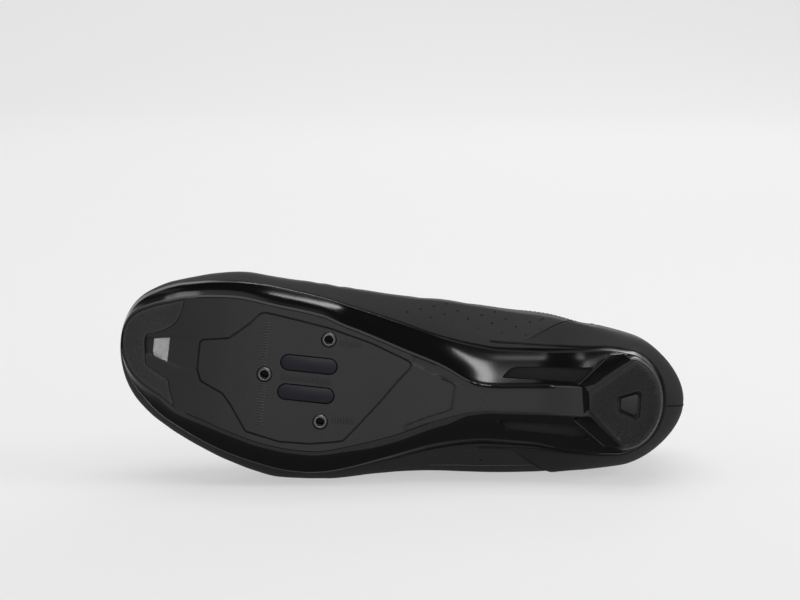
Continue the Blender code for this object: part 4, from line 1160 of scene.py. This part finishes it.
# An outline with its corners rounded by a radius
def roundCorners(corners, radius, steps=4):
    found = []
    for i, corner in enumerate(corners):
        here = Vector(corner)
        back, ahead = Vector(corners[i - 1]) - here, Vector(corners[(i + 1) % len(corners)]) - here
        angle = back.angle(ahead)
        reach = min(radius / math.tan(angle / 2), back.length * 0.45, ahead.length * 0.45)
        if angle > math.radians(172):
            found.append(tuple(here))
            continue
        start, end = here + back.normalized() * reach, here + ahead.normalized() * reach
        for k in range(steps + 1):
            t = k / steps
            found.append(tuple(start * (1 - t) ** 2 + here * 2 * t * (1 - t) + end * t * t))
    return found


# Outlines on the underside as shares of the length and the sole's width: pockets, cleat panel and vent
innerPocket = ((0.325, 0.051), (0.311, 0.101), (0.300, 0.118), (0.166, 0.165), (0.182, 0.086), (0.194, 0.073))
outerPocket = ((0.322, -0.186), (0.303, -0.234), (0.159, -0.227), (0.179, -0.160), (0.190, -0.153), (0.312, -0.180))
panelCorners = (
    (0.853, 0.090), (0.803, 0.120), (0.786, 0.165), (0.769, 0.213), (0.754, 0.270), (0.745, 0.281),
    (0.701, 0.264), (0.629, 0.232), (0.556, 0.172), (0.490, 0.095), (0.483, 0.078), (0.486, 0.050),
    (0.501, -0.009), (0.531, -0.144), (0.572, -0.312), (0.588, -0.373), (0.644, -0.405), (0.698, -0.411),
    (0.758, -0.374), (0.789, -0.238), (0.805, -0.183), (0.845, -0.132), (0.853, -0.072),
)
screenCorners = ((0.936, 0.061), (0.906, 0.079), (0.907, -0.061), (0.935, -0.035))


# The outline of a strip of even width along a line of places
def stripCorners(line, width):
    sides = ([], [])
    for i, place in enumerate(line):
        ahead, back = line[min(i + 1, len(line) - 1)], line[max(i - 1, 0)]
        along = (Vector(ahead) - Vector(back)).normalized() * width / 2
        sides[0].append((place[0] - along.y, place[1] + along.x))
        sides[1].append((place[0] + along.y, place[1] - along.x))
    return sides[0] + sides[1][::-1]


# A narrow groove that follows a closed outline on the underside
def grooveMesh(corners, width, depth):
    count = len(corners)
    rows = []
    for i in range(count):
        corner = Vector(corners[i])
        along = (Vector(corners[(i + 1) % count]) - Vector(corners[i - 1])).normalized()
        out = Vector((along.y, -along.x)) * width / 2
        row = []
        for side, rise in ((-1.15, -0.0015), (1.15, -0.0015), (0.7, depth), (-0.7, depth)):
            spotAt = corner + out * side
            row.append(Vector((spotAt.x, spotAt.y, underside(spotAt.x) + rise)))
        rows.append(row)

    def build(shape):
        made = [[shape.verts.new(point) for point in row] for row in rows]
        for i in range(count):
            row, following = made[i], made[(i + 1) % count]
            for j in range(4):
                after = (j + 1) % 4
                shape.faces.new((row[j], row[after], following[after], following[j]))

    return closedMesh("groove", build)


# Puts more corners on the straight runs of an outline or an open line, so that it can follow the curve of the sole
def denser(corners, step, closed=True):
    found = []
    for i, (ax, ay) in enumerate(corners if closed else corners[:-1]):
        bx, by = corners[(i + 1) % len(corners)]
        count = max(1, round(math.dist((ax, ay), (bx, by)) / step))
        found += [(ax + (bx - ax) * k / count, ay + (by - ay) * k / count) for k in range(count)]
    return found if closed else found + [corners[-1]]


# The plate ends in a shallow step towards the neck
stepCurve = Curves(("aside", "at"), ((-0.26, 0.485), (-0.20, 0.445), (-0.14, 0.4065), (-0.012, 0.4045), (0.005, 0.411),
                                     (0.04, 0.448), (0.09, 0.485)))
# The scoop behind the vent: place, half width and middle as shares
scoopCurves = Curves(("at", "half", "middle"), ((0.845, 0.108, 0.006), (0.905, 0.078, 0.012), (0.936, 0.052, 0.014)))


def dentAt(x, y):
    at, aside = x / shoe["length"], y / shoe["soleWidth"]
    dent = 0.0
    if 0.2 < at < 0.50:
        dent += sole["neckStep"] * smoothStep((stepCurve.at("at", aside) - at) / 0.004) * smoothStep((at - 0.2) / 0.06)
    if at > 0.85:
        beside = scoopCurves.at("half", at) - abs(aside - scoopCurves.at("middle", at))
        dent += sole["scoopDepth"] * smoothStep(beside / 0.012) * min(1.0, (at - 0.85) / 0.085)
    return dent


def makePlate():
    shares = stations(sole["stations"] * 2)
    columns = sole["plateColumns"]
    bottom, top = [], []
    for share in shares:
        ends = {}
        for side in (1, -1):
            low = lipShare(share, side)
            outer = flangePoint(share, side, low)
            foot = outer.copy()
            depth = max(sole["plateDepth"], outer.z - underside(outer.x) + sole["lipSeat"])
            foot.z = underside(outer.x) + depth - 0.00005
            # the chamfer stands a hair proud of the gloss shell
            lip = ((outer, 0.00006), (flangePoint(share, side, low * 0.55), 0.0001), (plateEdge(share, side), 0.00002))
            ends[side] = [foot] + [point - Vector((0, 0, proud)) for point, proud in lip]
        inner, outer = ends[1][-1], ends[-1][-1]
        across = []
        for k in range(1, columns):
            point = inner.lerp(outer, k / columns)
            point.z = underside(point.x) + dentAt(point.x, point.y)
            across.append(point)
        row = ends[1] + across + ends[-1][::-1]
        top.append(row)
        flat = []
        for k, point in enumerate(row):
            base = ends[1][0].lerp(ends[-1][0], k / (len(row) - 1))
            flat.append(Vector((base.x, base.y, max(base.z, point.z + 0.0008) if 4 <= k < len(row) - 4 else base.z)))
        bottom.append(flat)
    piece = newObject("solePlate", sheetMesh("solePlate", bottom, top))
    tools = []
    for x, y in boltPlaces().values():
        tools.append(cylinderMesh((x, y), 0.0042, -0.01, 0.0063, 48))
    x, y = spot(shoe["patternAt"], shoe["patternAside"])
    x -= plug["setback"]
    length, width = plug["length"] + plug["slack"], plug["width"] + plug["slack"]
    for side in (1, -1):
        tools.append(prismMesh("slot", pillCorners((x, y + side * plug["spread"] / 2), length, width), -0.01, 0.01))
    tools.append(ventMesh())
    outline = denser(roundCorners(spotsOf(panelCorners), 0.003), 0.004)
    tools.append(grooveMesh(outline, sole["grooveWidth"], sole["grooveDepth"]))
    tools.append(toePadMesh("padSeat", 0.0003, -0.004, toePad["thickness"] - toePad["proud"]))
    line = denser(spotsOf(heelBlock["neckLine"]), 0.003, closed=False)
    tools.append(prismMesh("neckLine", stripCorners(line, heelBlock["lineWidth"]), -0.01,
                           lambda x: underside(x) + heelBlock["lineDepth"]))
    tools.append(prismMesh("gap", spotsOf(heelBlock["gap"]), -0.01, 0.02))
    carve(piece, tools)
    return place(piece, finishes["plate"], "nylon", ["sole"], 30)


# The fine dark line between the plate and its chamfer, painted shade for the fine groove there
plateLine = {
    "reach": (0.42, 0.86), "count": 130, "inwards": 0.0002, "proud": 0.00003, "size": (0.0030, 0.00045, 0.0002),
}


def makePlateLines():
    low, high = plateLine["reach"]
    for side, name in bothSides:
        spots = []
        for i in range(plateLine["count"] + 1):
            share = low + (high - low) * i / plateLine["count"]
            point, ahead = plateEdge(share, side), plateEdge(share + 0.004, side)
            shift = Vector((0, -side * plateLine["inwards"], -plateLine["proud"]))
            spots.append((point + shift, Vector((0, 0, -1)), ahead - point))
        stamp("plateLine" + name, "stitch", spots, plateLine["size"], finishes["hole"], "nylon", 60)


# A rounded gloss ridge along the inner edge of the neck
neckRidge = {
    "reach": (0.20, 0.345), "count": 45, "on": 0.02, "sink": 0.0003, "facing": (0, 0.5, -0.85),
    "size": (0.009, 0.0022, 0.0014),
}


def makeNeckRidge():
    low, high = neckRidge["reach"]
    spots = []
    for i in range(neckRidge["count"] + 1):
        share = low + (high - low) * i / neckRidge["count"]
        point, ahead = flangePoint(share, 1, neckRidge["on"]), flangePoint(share + 0.01, 1, neckRidge["on"])
        spots.append((point + Vector((0, 0, neckRidge["sink"])), Vector(neckRidge["facing"]), ahead - point))
    stamp("neckRidge", "stitch", spots, neckRidge["size"], finishes["flange"], "nylon", 60)


# The heel block: a dark gap before the pad, and a gloss arm to each side of it, with a painted highlight line along
# each arm
heelBlock = {
    "gap": ((0.186, 0.082), (0.172, 0.034), (0.167, -0.061), (0.176, -0.088)),
    "pad": ((0.099, 0.226), (0.171, 0.028), (0.167, -0.058), (0.096, -0.255), (0.05, -0.45), (-0.1, -0.45),
            (-0.1, 0.45), (0.05, 0.45)),
    "inner": ((0.190, 0.066), (0.142, 0.246), (0.120, 0.262), (0.103, 0.230), (0.171, 0.039), (0.177, 0.054)),
    "outer": ((0.190, -0.132), (0.134, -0.252), (0.110, -0.252), (0.103, -0.241), (0.168, -0.064), (0.178, -0.076)),
    "neckLine": ((0.428, 0.014), (0.409, -0.004), (0.404, -0.018), (0.406, -0.146)),
    "lineWidth": 0.0011, "lineDepth": 0.0012,
    "armHighlightLine": (0.0042, 0.0006, 0.0005), "armDrop": 0.0006, "armLow": 0.0022, "armBevel": 0.0007, "armStamps": 16,
}


def makeHeelArms():
    for name in ("inner", "outer"):
        corners = denser(roundCorners(spotsOf(heelBlock[name]), sole["cornerRound"]), 0.003)
        low, high = heelBlock["armDrop"], heelBlock["armLow"]
        mesh = prismMesh("heelArm", corners, lambda x: underside(x) + low, lambda x: footbed(x) - high)
        piece = bevel(newObject("heelArm" + name.capitalize(), mesh), heelBlock["armBevel"], 3)
        place(piece, finishes["flange"], "nylon", ["sole"])
        # a lighter matt stroke along the first edge of each arm is a painted highlight for the shine on the gloss
        start, end = (Vector(spot(*corner)) for corner in heelBlock[name][:2])
        spots = []
        for k in range(1, heelBlock["armStamps"]):
            point = start.lerp(end, k / heelBlock["armStamps"])
            raised = Vector((point.x, point.y, underside(point.x) + low))
            spots.append((raised, Vector((0, 0, -1)), Vector((end.x - start.x, end.y - start.y, 0))))
        stamp("armHighlightLine" + name.capitalize(), "stitch", spots, heelBlock["armHighlightLine"], finishes["plate"], "nylon", 60)


plug = {"length": 0.0294, "width": 0.0077, "spread": 0.0157, "depth": 0.0011, "setback": 0.0069, "slack": 0.0013}


def makePlugs():
    x, y = spot(shoe["patternAt"], shoe["patternAside"])
    x -= plug["setback"]
    for side, name in bothSides:
        corners = pillCorners((x, y + side * plug["spread"] / 2), plug["length"], plug["width"])
        piece = newObject("slotPlug" + name, prismMesh("slotPlug" + name, corners, 0.0001, plug["depth"]))
        place(bevel(piece, 0.0002), finishes["plug"], "plug_plastic", ["slot_plug_" + name.lower()])


insert = {
    "radius": 0.0037, "bore": 0.0021, "length": 0.006, "segments": 64,
    "threadAt": 0.0010, "pitch": 0.0006, "threadDepth": 0.00028, "turns": 7,
}


def makeInserts():
    for name, (x, y) in boltPlaces().items():
        bore, radius, pitch = insert["bore"], insert["radius"], insert["pitch"]
        profile = [(radius, 0.0006), (radius - 0.0004, 0.0005), (radius - 0.0008, 0.0001), (bore + 0.0006, 0.0001),
                   (bore, insert["threadAt"])]
        for k in range(insert["turns"]):
            low = insert["threadAt"] + k * pitch
            profile += [(bore + insert["threadDepth"], low + pitch / 2), (bore, low + pitch)]
        profile += [(bore, insert["length"]), (radius, insert["length"])]

        def build(shape):
            rows = []
            for i in range(insert["segments"]):
                angle = 2 * math.pi * i / insert["segments"]
                ahead, aside = math.cos(angle), math.sin(angle)
                rows.append([shape.verts.new((x + r * ahead, y + r * aside, z)) for r, z in profile])
            for i in range(len(rows)):
                row, following = rows[i - 1], rows[i]
                for j in range(len(profile)):
                    face = shape.faces.new((row[j - 1], row[j], following[j], following[j - 1]))
                    # the flat ring and the funnel are bright steel; the outer chamfer is black steel, and the bore's
                    # threads are painted black as painted shade in the hole
                    widest = max(profile[j][0], profile[j - 1][0])
                    face.material_index = 0 if bore + 0.0003 < widest < radius - 0.0005 else 1

        piece = newObject("insert" + name.capitalize(), closedMesh("insert", build))
        place(piece, [finishes["steel"], finishes["blackSteelAndShade"]], "insert_steel", ["cleat_insert_" + name])


# An outline moved outwards from its middle
def grown(corners, reach):
    middle = sum((Vector(corner) for corner in corners), Vector((0, 0))) / len(corners)
    return [tuple(Vector(corner) + (Vector(corner) - middle).normalized() * reach) for corner in corners]


# The rubber dots of both pads
dots = {"pitch": 0.00145, "size": (0.0010, 0.0010, 0.00045), "sink": 0.00004}
heelPad = {
    "front": 0.1765, "inset": 0.0006, "chamfer": 0.0007,
    "window": ((0.120, 0.026), (0.119, -0.046), (0.087, -0.079), (0.081, -0.060), (0.082, 0.052), (0.087, 0.067)),
    "windowGrow": 0.0008, "windowRound": 0.0012, "boss": 0.0026, "bossShare": 0.74, "dotMargin": 0.0013,
}


def makeHeelPad():
    shares = stations(60)
    front = heelPad["front"] * shoe["length"]

    def outlineAt(inset, height):
        heel = shoe["plateHeel"] + heelPad["inset"] + inset
        plateToe = shoe["length"] - shoe["plateToe"]

        def pointAt(share, side):
            x = heel + (front - inset - heel) * share
            along = (x - heel) / (plateToe - heel)
            _, y = edge(along, side, heelPad["inset"] + inset, "plate")
            return Vector((x, y, height))

        return [pointAt(s, 1) for s in shares] + [pointAt(s, -1) for s in reversed(shares[1:])]

    def build(shape):
        chamfer = heelPad["chamfer"]
        rings = [outlineAt(chamfer, 0.0), outlineAt(chamfer * 0.3, chamfer * 0.3), outlineAt(0, chamfer),
                 outlineAt(0, shoe["heelPad"])]
        rows = [[shape.verts.new(p) for p in ring] for ring in rings]
        count = len(rows[0])
        for row, following in zip(rows, rows[1:]):
            for i in range(count):
                after = (i + 1) % count
                shape.faces.new((row[i], row[after], following[after], following[i]))
        for row in (rows[0], rows[-1]):
            for i in range(len(shares) - 1):
                addFace(shape, (row[i], row[i + 1], row[-i - 1], row[-i % count]))

    piece = newObject("heelPadRubber", closedMesh("heelPadRubber", build))
    window = grown(spotsOf(heelPad["window"]), heelPad["windowGrow"])
    carve(piece, [prismMesh("window", roundCorners(window, heelPad["windowRound"]), -0.01, 0.02)])
    carve(piece, [prismMesh("front", spotsOf(heelBlock["pad"]), -0.02, 0.03)], "INTERSECT")
    bevel(piece, 0.0005, 3, 50)
    place(piece, finishes["pad"], "pad_rubber", ["heel_pad"], 30)
    centre = sum((Vector(corner) for corner in window), Vector((0, 0))) / len(window)
    inset = [tuple(centre + (Vector(corner) - centre) * heelPad["bossShare"]) for corner in window]
    seat = underside(centre.x)
    mesh = prismMesh("heelBoss", roundCorners(inset, 0.001), seat - heelPad["boss"], seat + 0.0005)
    place(bevel(newObject("heelBoss", mesh), 0.0004, 3), finishes["plate"], "nylon", ["sole"])
    margin = heelPad["dotMargin"]
    outline = [(point.x, point.y) for point in outlineAt(0.0, 0.0)]
    hole, front = grown(spotsOf(heelPad["window"]), margin), spotsOf(heelBlock["pad"])
    spots = [(Vector((x, y, -dots["sink"])), Vector((0, 0, -1)), Vector((1, 0, 0)))
             for x, y in latticeIn(outline, dots["pitch"], margin)
             if not insideOutline(hole, x, y) and insideOutline(front, x, y, margin)]
    stamp("heelPadDots", "dot", spots, dots["size"], finishes["pad"], "pad_rubber")


toePad = {
    "thickness": 0.0022, "inset": 0.0012, "proud": 0.0003, "reach": 0.109, "dotMargin": 0.0011,
    "rows": ((-1.00, 0.889, -0.274), (-0.88, 0.898, -0.212), (-0.76, 0.904, -0.152), (-0.62, 0.914, -0.138),
             (-0.45, 0.932, -0.112), (-0.30, 0.946, -0.086), (-0.08, 0.9495, -0.022), (0.15, 0.952, 0.043),
             (0.30, 0.949, 0.078), (0.45, 0.935, 0.091), (0.62, 0.918, 0.118), (0.76, 0.903, 0.153),
             (0.88, 0.894, 0.200), (1.00, 0.889, 0.274)),
}


def toePadRows(count, slack):
    inner = Curves(("place", "at", "aside"), toePad["rows"])
    rows = []
    for i in range(count + 1):
        turn = -1 + 2 * i / count
        start = Vector(spot(inner.at("at", turn), inner.at("aside", turn)))
        end = Vector(edge(1 - toePad["reach"] * turn * turn, 1 if turn > 0 else -1, toePad["inset"] - slack, "plate"))
        rows.append((start - (end - start).normalized() * slack, end))
    if slack:
        for k, past in ((0, -1), (-1, 1)):
            shift = Vector((0.0, slack * past)) + Vector((-slack, 0.0))
            rows[k] = (rows[k][0] + shift, rows[k][1] + shift)
    return rows


def toePadMesh(name, slack, low, high, count=90, across=10):
    sheets = []
    for rise in (low, high):
        sheet = []
        for start, end in toePadRows(count, slack):
            points = [start.lerp(end, k / across) for k in range(across + 1)]
            sheet.append([Vector((point.x, point.y, underside(point.x) + rise)) for point in points])
        sheets.append(sheet)
    return sheetMesh(name, *sheets)


def makeToePad():
    proud = toePad["proud"]
    piece = newObject("toePadRubber", toePadMesh("toePadRubber", 0.0, -proud, toePad["thickness"] - proud))
    place(bevel(piece, 0.0005, 3), finishes["toe"], "pad_rubber", ["toe_pad"], 40)
    rows = toePadRows(60, 0.0)
    outline = [tuple(start) for start, _ in rows] + [tuple(end) for _, end in reversed(rows)]
    spots = []
    for x, y in latticeIn(outline, dots["pitch"], toePad["dotMargin"]):
        height = underside(x) - proud - dots["sink"]
        spots.append((Vector((x, y, height)), Vector((slopeAt(x), 0, -1)), Vector((1, 0, 0))))
    return stamp("toePadDots", "dot", spots, dots["size"], finishes["toe"], "pad_rubber")


# Woven wires over the vent's screen
screen = {"pitch": 0.00058, "wire": 0.00030, "rise": 0.0015}


def makeScreenWires():
    corners = spotsOf(screenCorners)
    lowX, highX = min(x for x, _ in corners), max(x for x, _ in corners)
    lowY, highY = min(y for _, y in corners), max(y for _, y in corners)
    spots = []
    for i in range(int((highX - lowX) / screen["pitch"]) + 1):
        for j in range(int((highY - lowY) / screen["pitch"]) + 1):
            x, y = lowX + i * screen["pitch"], lowY + j * screen["pitch"]
            if not insideOutline(corners, x, y, 0.0002):
                continue
            slope = slopeAt(x)
            along = Vector((1, 0, slope)) if (i + j) % 2 else Vector((0, 1, 0))
            spots.append((Vector((x, y, underside(x) + screen["rise"])), Vector((slope, 0, -1)), along))
    size = (screen["pitch"] * 1.9, screen["wire"], screen["wire"])
    return stamp("ventWires", "stitch", spots, size, finishes["mesh"], "screen_steel")


# Tick marks for setting the cleat, beside the three inserts and between the slots; their dark colour is painted shade
# for the engraved lines
ticks = {"pitch": 0.00148, "length": 0.0049, "width": 0.00072, "height": 0.00040}


def makeTicks():
    bolts = boltPlaces()
    along, aside = Vector((1, 0, 0)), Vector((0, 1, 0))
    spots = []

    def line(x, y, step, count, direction):
        for k in range(count):
            px, py = x + step[0] * k, y + step[1] * k
            spots.append((Vector((px, py, underside(px) - 0.00001)), Vector((0, 0, -1)), direction))

    pitch = ticks["pitch"]
    x, y = bolts["front"]
    line(x + 0.0016, y + 0.0052, (0, pitch), 16, along)
    line(x + 0.0004, y - 0.0045, (0, -pitch), 16, along)
    x, y = bolts["inner"]
    line(x - 0.0065, y - 0.0008, (-pitch, 0), 8, aside)
    x, y = bolts["outer"]
    line(x - 0.0065, y + 0.0021, (-pitch, 0), 8, aside)
    x, y = spot(shoe["patternAt"], shoe["patternAside"])
    line(x + 0.0064, y, (-pitch, 0), 18, aside)
    size = (ticks["length"], ticks["width"], ticks["height"])
    return stamp("cleatTicks", "stitch", spots, size, finishes["mark"], "nylon")


# Inner sole: height over the footbed and inset of each ring of its outline
insole = {"layers": ((0.0003, 0.001), (0.0017, 0.0), (0.0032, 0.0002), (0.0037, 0.0009), (0.0038, 0.002))}


def makeInsole():
    shares = stations(80)

    def layer(height, inset):
        def pointAt(share, side):
            point = footLine(share, side, -shoe["wall"] - shoe["curvedGap"] - inset)
            point.z = footbed(point.x) + height
            return point
        return ringOf(pointAt, shares)

    piece = newObject("insoleFoam", ringMesh("insoleFoam", [layer(*pair) for pair in insole["layers"]]))
    return place(piece, finishes["foam"], "insole_foam", ["insole"], 50)


tongue = {"reach": (0.255, 0.80), "level": 0.66, "thickness": 0.004, "steps": 60, "bevel": 0.0015}
# Straps: name, place along the upper, and the levels at which the two ends stop
straps = (("Front", 0.655, 0.50, 0.42), ("Middle", 0.54, 0.52, 0.40), ("Rear", 0.425, 0.54, 0.40))
strap = {"width": 0.02, "thickness": 0.002, "bevel": 0.0006}


def overSheet(shares, innerLevel, outerLevel, grow, count):
    rows = []
    for share in shares:
        row = [upperPoint(share, 1, innerLevel + (1 - innerLevel) * k / count, grow) for k in range(count)]
        row += [upperPoint(share, -1, 1 - (1 - outerLevel) * k / count, grow) for k in range(count + 1)]
        rows.append(row)
    return rows


def makeTongue():
    back, front = tongue["reach"]
    shares = [back + (front - back) * i / tongue["steps"] for i in range(tongue["steps"] + 1)]
    top = -shoe["wall"] - shoe["curvedGap"]
    low = overSheet(shares, tongue["level"], tongue["level"], top - tongue["thickness"], 14)
    high = overSheet(shares, tongue["level"], tongue["level"], top, 14)
    piece = newObject("tonguePad", sheetMesh("tonguePad", low, high))
    place(bevel(piece, tongue["bevel"], 4), finishes["fabric"], "tongue_fabric", ["tongue"], 50)


def makeStraps():
    half = strap["width"] / 2 / shoe["length"]
    for name, middle, innerReach, outerReach in straps:
        shares = [middle - half + 2 * half * i / 14 for i in range(15)]
        low = overSheet(shares, innerReach, outerReach, shoe["curvedGap"], 24)
        high = overSheet(shares, innerReach, outerReach, shoe["curvedGap"] + strap["thickness"], 24)
        piece = newObject("strap" + name, sheetMesh("strap" + name, low, high))
        place(bevel(piece, strap["bevel"], 3), finishes["strap"], "strap_synthetic", ["strap_" + name.lower()], 50)
        spots = []
        inset = half - details["stitchInset"] / shoe["length"]
        for share in (middle - inset, middle + inset):
            for side, reach in ((1, innerReach), (-1, outerReach)):
                over = upperPoint(share, side, reach, 0.0) - upperPoint(share, side, 1.0, 0.0)
                count = round(over.length * 1.1 / details["stitchStep"])
                for k in range(1, count + 1):
                    level = reach + (1 - reach) * k / (count + 0.5)
                    point, out, _ = onUpper(share, side, level, shoe["curvedGap"] + strap["thickness"])
                    spots.append((point, out, over))
        stamp("strapStitch" + name, "stitch", spots, details["stitchSize"], finishes["thread"], "strap_synthetic")


makeUpper()
makeCounter()
makeDetails()
print("scene: upper and heel counter")
makeSoleShell()
makePlate()
makePlugs()
makeInserts()
makeHeelPad()
makeHeelArms()
makeNeckRidge()
makePlateLines()
makeToePad()
makeScreenWires()
makeTicks()
print("scene: sole, pads, screen, inserts and plugs")
makeInsole()
makeTongue()
makeStraps()
print("scene: insole, tongue and straps")
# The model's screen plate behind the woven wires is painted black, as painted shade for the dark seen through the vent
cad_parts["toe_screen"].data.materials.clear()
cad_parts["toe_screen"].data.materials.append(finishes["blackSteelAndShade"])
